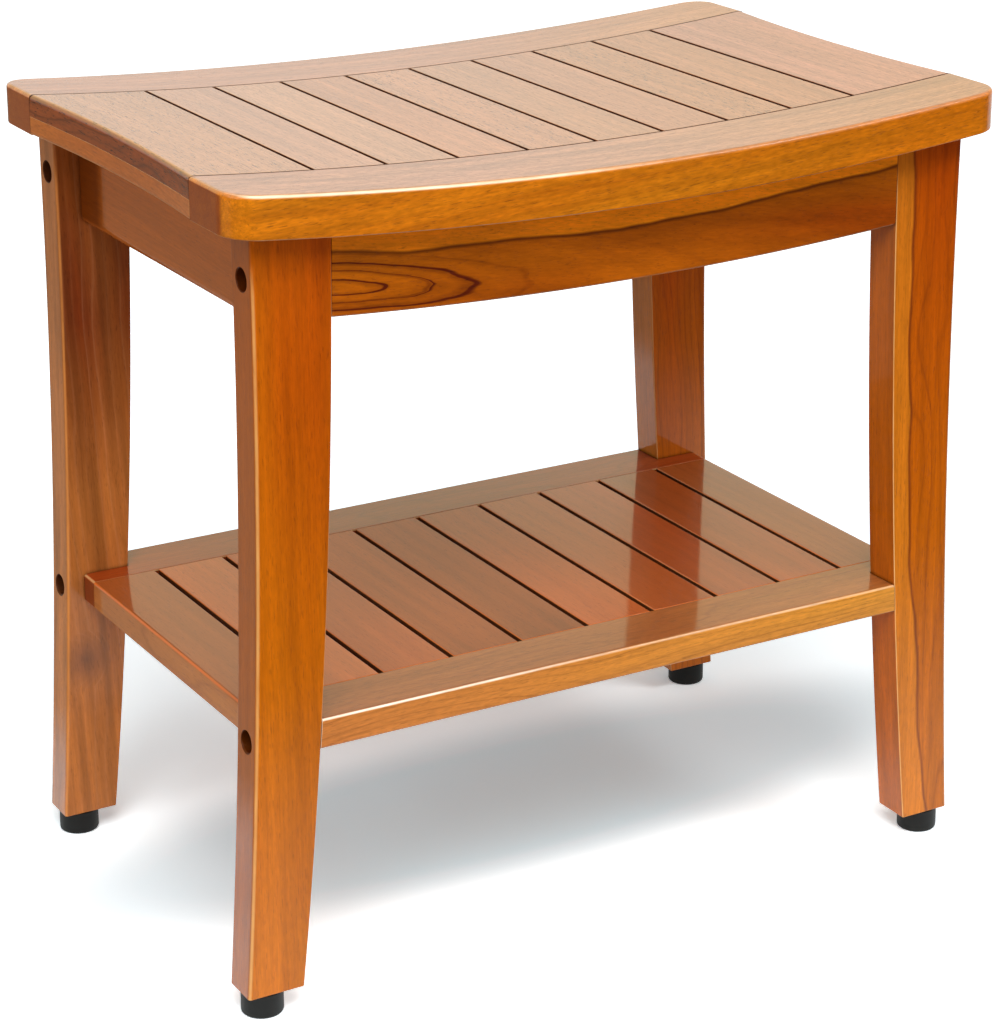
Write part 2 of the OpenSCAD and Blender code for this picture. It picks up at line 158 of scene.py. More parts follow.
paper, tree = new_material("white_paper_sweep")
spot = add(tree, "TexCoord").outputs["Object"]
oval = add(tree, "VectorMath", {"operation": "MULTIPLY_ADD"}, {0: spot, 1: SHADE_OVAL, 2: SHADE_AT})
off = add(tree, "VectorMath", {"operation": "LENGTH"}, {0: oval}).outputs["Value"]
opened = add(tree, "MapRange", {"interpolation_type": "SMOOTHSTEP"},
             {0: off, 1: SHADE_EDGE[0], 2: SHADE_EDGE[1]})
growth = add(tree, "MapRange", links={0: off, 1: GLOW_REACH[0], 2: GLOW_REACH[1], 3: GLOW[0], 4: GLOW[1]})
sideways = add(tree, "SeparateXYZ", links={0: spot}).outputs["X"]
sideways = add(tree, "Math", {"operation": "ABSOLUTE"}, {0: sideways})
outer = add(tree, "MapRange", links={0: sideways, 1: TINT_REACH[0], 2: TINT_REACH[1]})
tint = add(tree, "MixRGB", links={0: outer, 1: MIDDLE_TINT, 2: SIDE_TINT})
bright = add(tree, "MixRGB", links={0: opened, 1: tint, 2: OPEN_TINT})
seen = seen_or_mirrored(tree)
shade = add(tree, "MixRGB", links={0: seen, 1: linear("#ECECEC"), 2: bright})
glow = add(tree, "MixRGB", links={0: seen, 1: BLACK, 2: growth})

# %% Where the paper ends
# The direction to look along, where the paper begins and is whole in metres, and the colour beyond.
BEYOND = (((1.0, -0.39, 0.0), -0.46, -0.36, "#D2C8B2"),
          ((0.0, 1.0, 0.0), -0.58, -0.15, "#4A4642"))

looked_at = add(tree, "LightPath").outputs["Is Camera Ray"]
for across, begins, whole, colour in BEYOND:
    inside = add(tree, "VectorMath", {"operation": "DOT_PRODUCT"}, {0: spot, 1: across})
    part = add(tree, "MapRange", {"interpolation_type": "SMOOTHSTEP"},
               {0: inside.outputs["Value"], 1: begins, 2: whole})
    kept = add(tree, "Math", {"operation": "MAXIMUM"}, {0: part, 1: looked_at})
    shade = add(tree, "MixRGB", links={0: kept, 1: linear(colour), 2: shade})
    glow = add(tree, "MixRGB", links={0: kept, 1: BLACK, 2: glow})
matt = add(tree, "BsdfDiffuse", links={"Color": shade})
lift = add(tree, "Emission", links={"Color": glow, "Strength": 1.0})
total = add(tree, "AddShader", links={0: matt, 1: lift})
add(tree, "OutputMaterial", links={"Surface": total})
stage_mesh.materials.append(paper)
print("paper with", len(tree.nodes), "nodes")

# %% Room
ROOM_FILL = 0.24
RAMP_SHARE = 2.0          # a ramp holds levels up to 1, so it holds the walls' divided by this
# The walls as the varnish mirrors them: height as a sine, and the ramp's level there.
WALL = ((0.0, (0.48, 0.48, 0.45)), (0.14, (0.50, 0.50, 0.47)), (0.22, (0.59, 0.59, 0.54)),
        (0.30, (0.62, 0.62, 0.46)), (0.36, (0.66, 0.63, 0.37)), (0.60, (0.60, 0.58, 0.46)))

room = bpy.data.worlds.new("studio_room")
room.use_nodes = True
air = room.node_tree
air.nodes.clear()
way = add(air, "SeparateXYZ", links={0: add(air, "TexCoord").outputs["Generated"]}).outputs["Z"]
wall = add(air, "ValToRGB", links={0: way})
for at, level in WALL[1:]:
    wall.color_ramp.elements.new(at).color = (*level, 1)
wall.color_ramp.elements[0].color = (*WALL[0][1], 1)
wall.color_ramp.elements[-1].color = (*WALL[-1][1], 1)
sky = add(air, "MixRGB", links={
    0: seen_or_mirrored(air), 1: [ROOM_FILL / RAMP_SHARE] * 3 + [1.0], 2: wall})
light = add(air, "Background", links={"Color": sky, "Strength": RAMP_SHARE})
add(air, "OutputWorld", links={"Surface": light})
bpy.context.scene.world = room
bpy.context.scene.view_settings.view_transform = "Standard"
print("room fill", ROOM_FILL, "and", len(WALL), "levels of wall")

# %% [markdown]
# Four soft boxes light the bench: a large one high in front, one from each side, and a low one
# for the legs and the shelf's edge. Each has the power that lights a white card at the bench to
# the level asked for, so a lamp can be moved or resized without spoiling the balance.

# %% Lamps
BENCH_MIDDLE = Vector((0, 0, 0.25))


def soft_box(name, direction, distance, width, height, level, mirrored=True):
    """A soft box that lights a white card facing it, at the bench, to `level`."""
    lamp = bpy.data.lights.new(name, "AREA")
    lamp.shape = "RECTANGLE"
    lamp.size = width
    lamp.size_y = height
    lamp.energy = level * (math.pi * distance) ** 2
    made = bpy.data.objects.new(name, lamp)
    made.location = BENCH_MIDDLE + Vector(direction).normalized() * distance
    made.rotation_euler = Vector(direction).to_track_quat("Z", "Y").to_euler()
    made.visible_camera = False
    made.visible_glossy = mirrored
    bpy.context.scene.collection.objects.link(made)
    print(name, "power", round(lamp.energy, 1), "W, radiance",
          round(lamp.energy / (math.pi * width * height), 2))


soft_box("soft_box_front", (-0.30, -0.54, 0.78), 2.3, 1.4, 1.4, 0.80)
soft_box("soft_box_left", (-0.86, -0.36, 0.36), 2.4, 1.6, 1.2, 0.26)
soft_box("soft_box_right", (0.47, -0.50, 0.73), 2.1, 0.8, 0.5, 0.26)
# The low one is left out of the varnish, or the seat would mirror it whole from behind.
soft_box("soft_box_low", (0.12, -0.98, 0.12), 2.3, 1.2, 0.8, 0.22, mirrored=False)

# %% [markdown]
# ## Teak under gloss varnish
# Teak is ring-porous: each year starts with a row of open pores and ends in a dense dark line.
# Sawn lengthwise, those lines run straight, and where the saw leaves the trunk's line they draw
# nested arches. So the wood is made as the tree made it: rings round a pith that lies beside
# the board, a few millimetres apart, bent a little by slow noise, with fibres, pores and a broad
# drift of colour. Every board gets its own place in the trunk. Over it lies clear varnish, as a
# coat: smooth enough to mirror the legs in the shelf, with the pores just felt in its shine.

# %% The teak's settings
TURN_TO_GRAIN = {"X": Euler((0, 0, 0)), "Y": Euler((0, 0, -math.pi / 2)), "Z": Euler((0, math.pi / 2, 0))}
GRAIN_AXIS = {"X": (1, 0, 0), "Y": (0, 1, 0), "Z": (0, 0, 1)}
UP = (0, 0, 1)
LEFT = (-1, 0, 0)
TRUNK_STEP = 137.0        # boards with different seeds come from places this far apart, mm
ALONG_UNIT = 180.0        # places along a board are told in units of this many mm from its middle
VARNISH_IOR = 1.30        # a varnish is about 1.5; less keeps the wood as deep as it was seen
VARNISH_ROUGHNESS = 0.07
TEAK = dict(
    pith=(28, 46),            # where the trunk's middle lies beside the board, mm
    lean=(0.0, 2.0),          # how far the saw left the trunk's line, degrees
    ring=4.2,                 # one year's growth, mm
    contrast=0.5,             # depth of the dark line that ends a year
    heart=300.0,              # the lines fade from about this far off the pith, mm
    wander=20.0,              # how far the trunk's slow bends push the rings, mm
    streaks=0.10,             # uneven tone in long streaks,
    flecks=0.10,              # in short flecks
    fibres=0.10,              # and in single fibres
    pores=0.5,                # depth of the open pores
    drift=0.5,                # how far the body colour drifts to the pale one
    upper=None,               # the body colour at the board's far end; on the legs, a painted shade
    rise=(-1.1, 1.05),        # the places along the board between which it changes
    facing=None,              # a direction, and the tone or tones of faces that look there, partly painted light, shade and sheen
    sap=None,                 # a sapwood band, see sapwood()
    knots=(),                 # the place and size of each knot, mm
    end_tone=None,            # end grain, or else as the year's line
    worn="#F3CD8C",           # paler wood and painted highlight on the arrises,
    worn_by=0.6,              # how much of it,
    worn_along=(0, 1, 1, 1),  # two places along the board in mm and the share at each,
    worn_ends=1.0,            # and the share where an arris turns round the board's end
    gloss=1.0,                # share of the varnish's shine
    seed=0.0)
print(len(TEAK), "settings for a board of teak")

# %% Places in the board and in the trunk
def places(tree, grain, centre, look):
    """Places in the bench and in the trunk in mm, and the place along the board's grain."""
    turn = Euler((0, math.radians(look["lean"][1]), math.radians(look["lean"][0]))).to_matrix() \
        @ TURN_TO_GRAIN[grain].to_matrix()
    start = Vector((look["seed"] * TRUNK_STEP, look["pith"][0], look["pith"][1])) - turn @ Vector(centre)
    spot = add(tree, "TexCoord").outputs["Object"]
    trunk = add(tree, "Mapping", links={"Vector": spot, "Location": start,
                                        "Rotation": turn.to_euler(), "Scale": (1000, 1000, 1000)})
    bench = add(tree, "VectorMath", {"operation": "SCALE"}, {0: spot, "Scale": 1000})
    axis = GRAIN_AXIS[grain]
    reach = add(tree, "VectorMath", {"operation": "DOT_PRODUCT"},
                {0: bench, 1: [v / ALONG_UNIT for v in axis]})
    along = add(tree, "Math", {"operation": "SUBTRACT"},
                {0: reach.outputs["Value"], 1: Vector(centre).dot(Vector(axis)) / ALONG_UNIT})
    return trunk, bench, along


# %% Noise that follows the grain
def stretched(tree, trunk, along, across, detail, rough=0.5):
    """Noise whose features are `along` mm long in the grain and `across` mm wide."""
    scaled = add(tree, "VectorMath", {"operation": "MULTIPLY"},
                 {0: trunk, 1: (1 / along, 1 / across, 1 / across)})
    return add(tree, "TexNoise", links={"Vector": scaled, "Scale": 1.0, "Detail": detail,
                                        "Roughness": rough})


def pushed(tree, noise, amount, under):
    """Moves a place across the grain by up to `amount` mm either way."""
    centred = add(tree, "VectorMath", {"operation": "SUBTRACT"},
                  {0: noise.outputs["Color"], 1: (0.5,) * 3})
    return add(tree, "VectorMath", {"operation": "MULTIPLY_ADD"},
               {0: centred, 1: (0, 2 * amount, 2 * amount), 2: under})


# %% [markdown]
# ### Year rings
# A place's distance from the pith, over the width of a ring, counts the years. Its fraction is
# the time of year, and a colour ramp turns that into the pale early wood and the dark line at
# the end. No two years are alike, so a white noise of the year's number sets each line's depth.
# Round a knot the distance grows, and the rings flow round it.

# %% Year rings
YEAR = ((0.0, 0.75), (0.10, 0.20), (0.45, 0.10), (0.80, 0.35), (0.93, 1.0), (1.0, 0.75))
SLOW_BEND = (170, 42, 1)      # length and width of the trunk's bends in mm, and their detail
FINE_BEND = (38, 7, 2)
FINE_PUSH = 1.3
KNOT_SWELL = 1.4


def year_rings(tree, trunk, bench, look):
    """How dark the year's line is at each place, and how near each place is to a knot."""
    bent = pushed(tree, stretched(tree, trunk, *SLOW_BEND), look["wander"], trunk)
    bent = pushed(tree, stretched(tree, trunk, *FINE_BEND), FINE_PUSH, bent)
    across = add(tree, "VectorMath", {"operation": "MULTIPLY"}, {0: bent, 1: (0, 1, 1)})
    radius = add(tree, "VectorMath", {"operation": "LENGTH"}, {0: across}).outputs["Value"]
    knots = []
    for x, y, z, size in look["knots"]:
        away = add(tree, "VectorMath", {"operation": "DISTANCE"}, {0: bench, 1: (x, y, z)})
        knots.append(add(tree, "MapRange", links={0: away.outputs["Value"], 1: size, 2: 0, 3: 0, 4: 1}))
        swell = add(tree, "Math", {"operation": "MULTIPLY"}, {0: knots[-1], 1: KNOT_SWELL * size})
        radius = add(tree, "Math", {"operation": "ADD"}, {0: radius, 1: swell})
    count = add(tree, "Math", {"operation": "DIVIDE"}, {0: radius, 1: look["ring"]})
    season = add(tree, "ValToRGB", links={0: add(tree, "Math", {"operation": "FRACT"}, {0: count})})
    season.color_ramp.interpolation = "EASE"
    for at, level in YEAR[1:-1]:
        season.color_ramp.elements.new(at).color = (level, level, level, 1)
    for end, level in ((0, YEAR[0][1]), (-1, YEAR[-1][1])):
        season.color_ramp.elements[end].color = (level, level, level, 1)
    year = add(tree, "Math", {"operation": "FLOOR"}, {0: count})
    luck = add(tree, "TexWhiteNoise", {"noise_dimensions": "1D"}, {"W": year}).outputs["Value"]
    depth = add(tree, "MapRange", links={0: luck, 1: 0, 2: 1, 3: 0.25 * look["contrast"],
                                         4: look["contrast"]})
    fade = add(tree, "MapRange", links={0: radius, 1: 0.8 * look["heart"], 2: 1.3 * look["heart"],
                                        3: 1.0, 4: 0.12})
    strength = add(tree, "Math", {"operation": "MULTIPLY"}, {0: depth, 1: fade})
    dark = add(tree, "Math", {"operation": "MULTIPLY", "use_clamp": True}, {0: season, 1: strength})
    return dark, knots


# %% [markdown]
# ### Heartwood, sapwood and fibres
# Stained teak is not one brown. The body drifts slowly to a paler tone, some boards change from
# one end to the other, and sapwood, the outer wood of the trunk, stays golden behind a thin dark
# edge. On the legs the darker top is painted shade under the seat. Streaks, flecks, fibres and
# pores then vary the tone, each at its own real size.

# %% Sapwood
def sapwood(tree, trunk, bench, along, wood, sap):
    """Golden wood beyond a bent line: the side it lies on, where it starts and how far it bows
    and waves (mm), its tone and share, the colour of its edge, and its share at the near end."""
    side, at, bow, waves, tone, share, edge, near_share = sap
    height = add(tree, "VectorMath", {"operation": "DOT_PRODUCT"}, {0: bench, 1: side})
    square = add(tree, "Math", {"operation": "MULTIPLY"}, {0: along, 1: along})
    bowed = add(tree, "Math", {"operation": "MULTIPLY"}, {0: square, 1: bow})
    wave = add(tree, "MapRange", links={0: stretched(tree, trunk, 70, 60, 2), 1: 0.3, 2: 0.7,
                                        3: -at - waves, 4: -at + waves})
    level = add(tree, "Math", {"operation": "ADD"}, {0: height.outputs["Value"], 1: bowed})
    depth = add(tree, "Math", {"operation": "ADD"}, {0: level, 1: wave})
    begun = add(tree, "MapRange", links={0: depth, 1: 0.0, 2: 1.2, 3: 0.0, 4: share})
    kept = add(tree, "MapRange", links={0: along, 1: -1.0, 2: 0.1, 3: near_share, 4: 1.0})
    golden = add(tree, "Math", {"operation": "MULTIPLY"}, {0: begun, 1: kept})
    wood = add(tree, "MixRGB", links={0: golden, 1: wood, 2: linear(tone)})
    off_edge = add(tree, "Math", {"operation": "ABSOLUTE"}, {0: depth})
    line = add(tree, "MapRange", links={0: off_edge, 1: 0.2, 2: 1.6, 3: 0.7, 4: 0.0})
    return add(tree, "MixRGB", links={0: line, 1: wood, 2: linear(edge)})


# %% Heartwood
KNOT_TONE = "#54362A"
KNOT_SHARE = 0.65


def heartwood(tree, trunk, bench, along, look, body, pale, line):
    """The colour of the wood before its fibres: body, drift, rings, sapwood and knots."""
    low, high = look["rise"]
    risen = add(tree, "MapRange", links={0: along, 1: low, 2: high, 3: 0.0, 4: 1.0})
    main = add(tree, "MixRGB", links={0: risen, 1: linear(body), 2: linear(look["upper"] or body)})
    drift = add(tree, "MapRange", links={0: stretched(tree, trunk, 240, 38, 1), 1: 0.3, 2: 0.7,
                                         3: 0.0, 4: look["drift"]})
    toned = add(tree, "MixRGB", links={0: drift, 1: main, 2: linear(pale)})
    dark, knots = year_rings(tree, trunk, bench, look)
    wood = add(tree, "MixRGB", links={0: dark, 1: toned, 2: linear(line)})
    if look["sap"]:
        wood = sapwood(tree, trunk, bench, along, wood, look["sap"])
    for knot in knots:
        share = add(tree, "Math", {"operation": "MULTIPLY"}, {0: knot, 1: KNOT_SHARE})
        wood = add(tree, "MixRGB", links={0: share, 1: wood, 2: linear(KNOT_TONE)})
    return wood


# %% Fibres and pores
FIBRE_SIZE = (34, 1.0, 3)     # length and width in mm, and detail
FLECK_SIZE = (6, 1.5, 2)
STREAK_SIZE = (320, 8, 2)
PORE_SIZE = (7, 0.6, 1, 0.7)  # real pores are finer; this is as fine as the picture shows


def fibres_and_pores(tree, trunk, look):
    """A level that varies round 1 with the fibres, and the fibres and pores themselves."""
    fibre = stretched(tree, trunk, *FIBRE_SIZE).outputs[0]
    pore = stretched(tree, trunk, *PORE_SIZE).outputs[0]
    level = 1.0
    for amount, noise in ((look["fibres"], fibre),
                          (look["flecks"], stretched(tree, trunk, *FLECK_SIZE)),
                          (look["streaks"], stretched(tree, trunk, *STREAK_SIZE))):
        varied = add(tree, "MapRange", links={0: noise, 1: 0.3, 2: 0.7, 3: 1 - amount, 4: 1 + amount})
        level = add(tree, "Math", {"operation": "MULTIPLY"}, {0: varied, 1: level})
    open_pore = add(tree, "MapRange", links={0: pore, 1: 0.62, 2: 0.70, 3: 1.0,
                                             4: 1 - 0.5 * look["pores"]})
    level = add(tree, "Math", {"operation": "MULTIPLY"}, {0: level, 1: open_pore})
    return level, fibre, pore


# %% [markdown]
# ### Skin, wear, painted light and varnish
# What the wood is like also depends on where its surface lies. Faces that look one way can have
# a tone of their own, partly the wood's and partly painted light, shade and sheen. End grain is
# dark. Arrises are paler, partly sanded through the stain and partly a painted highlight, less at
# a board's end and hardly at all under an edge. Gaps and bores are painted dark, and the varnish
# doesn't reach them. Arrises and bores are marked on each mesh when it is built, and an ambient
# occlusion of 3.5 mm finds the joints and paints them darker, a painted shade.

# %% Stained skin with painted light on its faces
END_GRAIN_SHARE = 0.75
FACING_SHARE = 0.8


def stain_and_painted_face_light(tree, wood, level, normal, faced, along, look, line):
    """The wood with its fibres, in the tones of its faces, partly painted light, shade and sheen, and of
    its end grain.
    """
    shaded = add(tree, "VectorMath", {"operation": "MULTIPLY"}, {0: wood, 1: level})
    if look["facing"]:
        way, tone, far_tone = look["facing"][0], look["facing"][1], look["facing"][-1]
        low, high = look["rise"]
        risen = add(tree, "MapRange", links={0: along, 1: low, 2: high, 3: 0.0, 4: 1.0})
        skin = add(tree, "MixRGB", links={0: risen, 1: linear(tone), 2: linear(far_tone)})
        tinted = add(tree, "VectorMath", {"operation": "MULTIPLY"}, {0: skin, 1: level})
        ahead = add(tree, "VectorMath", {"operation": "DOT_PRODUCT"}, {0: normal, 1: way})
        share = add(tree, "MapRange", links={0: ahead.outputs["Value"], 1: 0.8, 2: 0.99, 3: 0.0,
                                             4: FACING_SHARE})
        shaded = add(tree, "MixRGB", links={0: share, 1: shaded, 2: tinted})
    cut = add(tree, "MapRange", links={0: faced, 1: 0.94, 2: 0.98, 3: 0.0, 4: END_GRAIN_SHARE})
    return add(tree, "MixRGB", links={0: cut, 1: shaded, 2: linear(look["end_tone"] or line)})


# %% Worn arrises and painted highlights
WEAR_AND_HIGHLIGHT_SIZE = (24, 5, 2)
UNDER_EDGE = (-0.1, -0.6)     # an arris turns under between these heights of its normal


def worn_arrises(tree, trunk, shaded, arris, under, faced, along, look):
    """Paler arrises, partly wear and partly painted highlight, in patches, and less at the ends and under
    the edges.
    """
    patchy = add(tree, "MapRange", links={0: stretched(tree, trunk, *WEAR_AND_HIGHLIGHT_SIZE), 1: 0.3, 2: 0.7,
                                          3: 0.6 * look["worn_by"], 4: look["worn_by"]})
    first, last, first_level, last_level = look["worn_along"]
    run = add(tree, "MapRange", links={0: along, 1: first / ALONG_UNIT, 2: last / ALONG_UNIT,
                                       3: first_level, 4: last_level})
    ends = add(tree, "MapRange", links={0: faced, 1: 0.1, 2: 0.5, 3: 1.0, 4: look["worn_ends"]})
    below = add(tree, "MapRange", links={0: under, 1: 0.0, 2: 1.0, 3: 1.0, 4: 0.2})
    share = add(tree, "MapRange", links={0: arris, 1: 0.35, 2: 1.0, 3: 0.0, 4: 1.0})
    for factor in (patchy, run, ends, below):
        share = add(tree, "Math", {"operation": "MULTIPLY"}, {0: share, 1: factor})
    return add(tree, "MixRGB", links={0: share, 1: shaded, 2: linear(look["worn"])})


# %% Varnished teak
# Bores, gap walls and seams are painted this dark, and so are joints found by ambient occlusion, a
# painted shade.
DARK_GAP_AND_SHADE = "#2A0A05"
JOINT_REACH = 0.0035
FELT_DEPTH = 0.00006
SKIN_DEPTH = 0.00003


def varnished_teak(name, grain, centre, body, pale, line, **own):
    """Clear-varnished teak whose grain runs along `grain` through a board round `centre` (mm),
    with the board's own settings in the place of the common ones."""
    look = {**TEAK, **own}
    made, tree = new_material(name)
    trunk, bench, along = places(tree, grain, centre, look)
    normal = add(tree, "TexCoord").outputs["Normal"]
    arris = add(tree, "Attribute", {"attribute_name": "arris"}).outputs["Fac"]
    bore = add(tree, "Attribute", {"attribute_name": "bore"}).outputs["Fac"]
    faced = add(tree, "VectorMath", {"operation": "DOT_PRODUCT"}, {0: normal, 1: GRAIN_AXIS[grain]})
    faced = add(tree, "Math", {"operation": "ABSOLUTE"}, {0: faced.outputs["Value"]})
    height = add(tree, "SeparateXYZ", links={0: normal}).outputs["Z"]
    under = add(tree, "MapRange", links={0: height, 1: UNDER_EDGE[0], 2: UNDER_EDGE[1], 3: 0.0, 4: 1.0})

    wood = heartwood(tree, trunk, bench, along, look, body, pale, line)
    level, fibre, pore = fibres_and_pores(tree, trunk, look)
    shaded = stain_and_painted_face_light(tree, wood, level, normal, faced, along, look, line)
    shaded = worn_arrises(tree, trunk, shaded, arris, under, faced, along, look)
    # The ambient occlusion paints joints darker: a painted shade.
    open_air = add(tree, "AmbientOcclusion", {"samples": 6}, {"Distance": JOINT_REACH}).outputs["AO"]
    joint = add(tree, "MapRange", links={0: open_air, 1: 0.25, 2: 0.8, 3: 0.85, 4: 0.0})
    bored = add(tree, "Math", {"operation": "MULTIPLY"}, {0: bore, 1: 0.85})
    hidden = add(tree, "Math", {"operation": "MAXIMUM"}, {0: bored, 1: joint})
    final = add(tree, "MixRGB", links={0: hidden, 1: shaded, 2: linear(DARK_GAP_AND_SHADE)})

    edge = add(tree, "MapRange", links={0: arris, 1: 0.0, 2: 0.4, 3: 0.0, 4: 0.85})
    thin = add(tree, "Math", {"operation": "MULTIPLY"}, {0: under, 1: edge})
    bare = add(tree, "Math", {"operation": "MAXIMUM"}, {0: hidden, 1: thin})
    coated = add(tree, "Math", {"operation": "SUBTRACT"}, {0: 1.0, 1: bare})
    relief = add(tree, "Math", {"operation": "MULTIPLY"}, {0: fibre, 1: 0.35})
    pit = add(tree, "Math", {"operation": "GREATER_THAN"}, {0: pore, 1: 0.66})
    relief = add(tree, "Math", {"operation": "SUBTRACT"}, {0: relief, 1: pit})
    felt = add(tree, "Bump", links={"Height": relief, "Distance": FELT_DEPTH, "Strength": 0.5})
    skin = add(tree, "Bump", links={"Height": relief, "Distance": SKIN_DEPTH, "Strength": 0.45})
    surface = add(tree, "BsdfPrincipled", links={
        "Base Color": final, "Roughness": 0.42, "Specular IOR Level": 0.05,
        "Normal": felt, "Coat Normal": skin,
        "Coat Weight": add(tree, "Math", {"operation": "MULTIPLY"}, {0: coated, 1: look["gloss"]}),
        "Coat Roughness": VARNISH_ROUGHNESS, "Coat IOR": VARNISH_IOR})
    add(tree, "OutputMaterial", links={"Surface": surface})
    print(name, "has", len(tree.nodes), "nodes")
    return made


# %% [markdown]
# ## A builder for boards
# Every board here is an outline pushed through its thickness, even where it is bent: the seat
# rails and slats follow a dish, the legs two long arcs. So one builder takes the outline, the
# levels through the thickness, and a function that puts each point in its place. A bevel then
# rounds each edge by its own radius, held as a weight on that edge. Grooves and bolt holes are
# cut after that, by subtracting closed cutters. Fresh faces take a material number of their
# own, arris or bore, and the finish reads these numbers before it clears them.

# %% Baking modifiers
ARRIS_STEPS = 5
ARRIS_FACE = 1
BORE_FACE = 2
FACE_KINDS = 3
SMOOTH_BELOW = math.radians(38)
WELD = 0.000002


def evaluated(piece):
    """Bakes the piece's modifiers into its mesh."""
    graph = bpy.context.evaluated_depsgraph_get()
    graph.update()
    baked = bpy.data.meshes.new_from_object(piece.evaluated_get(graph))
    piece.modifiers.clear()
    old = piece.data
    piece.data = baked
    bpy.data.meshes.remove(old)


# %% Boards
def board(name, loop, levels, place, rims=None, posts=None, strips=None):
    """A closed board. `rims` gives each outline edge's radius at the first and the last level,
    `posts` the radius of the edge that runs through the thickness at an outline point (mm).
    `strips` fills the outline with these faces rather than with one."""
    bm = bmesh.new()
    rings = [[bm.verts.new(Vector(place(u, v, w)) * MM) for u, v in loop] for w in levels]
    size = len(loop)
    for ring in (rings[0], rings[-1]):
        for cap in strips or [range(size)]:
            bm.faces.new([ring[i] for i in cap])
    for low, high in zip(rings, rings[1:]):
        for i in range(size):
            j = (i + 1) % size
            bm.faces.new((low[i], low[j], high[j], high[i]))
    bmesh.ops.recalc_face_normals(bm, faces=bm.faces)
    weight = bm.edges.layers.float.new("bevel_weight_edge")
    widest = max([r for pair in (rims or {}).values() for r in pair] + list((posts or {}).values()) + [0])
    if widest:
        for i, pair in (rims or {}).items():
            for ring, radius in zip((rings[0], rings[-1]), pair):
                bm.edges.get((ring[i], ring[(i + 1) % size]))[weight] = radius / widest
        for i, radius in (posts or {}).items():
            for low, high in zip(rings, rings[1:]):
                bm.edges.get((low[i], high[i]))[weight] = radius / widest
    mesh = bpy.data.meshes.new(name)
    bm.to_mesh(mesh)
    bm.free()
    made = bpy.data.objects.new(name, mesh)
    bpy.context.scene.collection.objects.link(made)
    if widest:
        for _ in range(FACE_KINDS):
            mesh.materials.append(None)
        bevel = made.modifiers.new("arris", "BEVEL")
        bevel.limit_method = "WEIGHT"
        bevel.width = widest * MM
        bevel.segments = ARRIS_STEPS
        bevel.use_clamp_overlap = False
        bevel.material = ARRIS_FACE
        evaluated(made)
    return made


# %% Turned shapes
def turned(name, start, axis, profile, sides=48):
    """A closed turned shape: `profile` holds (distance along the axis, radius) from `start`."""
    bm = bmesh.new()
    along = Vector(axis).normalized()
    side = along.orthogonal().normalized()
    up = along.cross(side)
    rings = []
    for distance, radius in profile:
        middle = Vector(start) + along * distance
        if radius == 0:
            rings.append([bm.verts.new(middle * MM)])
            continue
        turns = [2 * math.pi * k / sides for k in range(sides)]
        rings.append([bm.verts.new((middle + radius * (side * math.cos(t) + up * math.sin(t))) * MM)
                      for t in turns])
    for low, high in zip(rings, rings[1:]):
        for k in range(sides):
            j = (k + 1) % sides
            corners = [low[k % len(low)], low[j % len(low)], high[j % len(high)], high[k % len(high)]]
            bm.faces.new(list(dict.fromkeys(corners)))
    for ring in (rings[0], rings[-1]):
        if len(ring) > 1:
            bm.faces.new(ring)
    bmesh.ops.recalc_face_normals(bm, faces=bm.faces)
    mesh = bpy.data.meshes.new(name)
    bm.to_mesh(mesh)
    bm.free()
    made = bpy.data.objects.new(name, mesh)
    bpy.context.scene.collection.objects.link(made)
    return made


# %% Cutting
def cut_away(piece, cutters):
    """Takes closed shapes out of the piece; the fresh faces are marked as bore walls."""
    bm = bmesh.new()
    for cutter in cutters:
        bm.from_mesh(cutter.data)
    for face in bm.faces:
        face.material_index = BORE_FACE
    joined = bpy.data.meshes.new("cutter")
    bm.to_mesh(joined)
    bm.free()
    for _ in range(FACE_KINDS):
        joined.materials.append(None)
    tool = bpy.data.objects.new("cutter", joined)
    bpy.context.scene.collection.objects.link(tool)
    cutting = piece.modifiers.new("cut", "BOOLEAN")
    cutting.operation = "DIFFERENCE"
    cutting.solver = "EXACT"
    cutting.object = tool
    evaluated(piece)
    for used in cutters + [tool]:
        mesh = used.data
        bpy.data.objects.remove(used)
        bpy.data.meshes.remove(mesh)


# %% Finishing a piece
def finish_piece(piece, body, material, replaces, gap_wall=None):
    """Marks arrises, bores and gap walls for the finish, smooths the shading, fixes the piece."""
    mesh = piece.data
    bm = bmesh.new()
    bm.from_mesh(mesh)
    bmesh.ops.remove_doubles(bm, verts=bm.verts, dist=WELD)
    arris = bm.verts.layers.float.new("arris")
    bore = bm.faces.layers.float.new("bore")
    worn = {v: float(all(f.material_index == ARRIS_FACE for f in v.link_faces)) for v in bm.verts}
    for v in bm.verts:
        near = [worn[e.other_vert(v)] for e in v.link_edges]
        v[arris] = worn[v] * (0.4 + 0.6 * min(near)) if near else 0.0
    for face in bm.faces:
        face[bore] = float(face.material_index == BORE_FACE or bool(gap_wall and gap_wall(face)))
        face.material_index = 0
        face.smooth = True
    bm.to_mesh(mesh)
    bm.free()
    mesh.materials.clear()
    mesh.materials.append(material)
    mesh.set_sharp_from_angle(angle=SMOOTH_BELOW)
    normals = piece.modifiers.new("flat_faces", "WEIGHTED_NORMAL")
    normals.keep_sharp = True
    evaluated(piece)
    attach(piece, body)
    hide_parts(replaces)
    size = [round(v / MM, 1) for v in piece.dimensions]
    print(replaces, size, "mm,", len(piece.data.polygons), "faces")
    return piece


# %% [markdown]
# ## The seat's shape
# The seat is a shallow dish along its length, about 11 mm deep over half a metre, and its long
# edges bow outwards. Both are arcs of several metres' radius: one function gives an arc's
# radius, another the height of a point at a depth under the dished top.

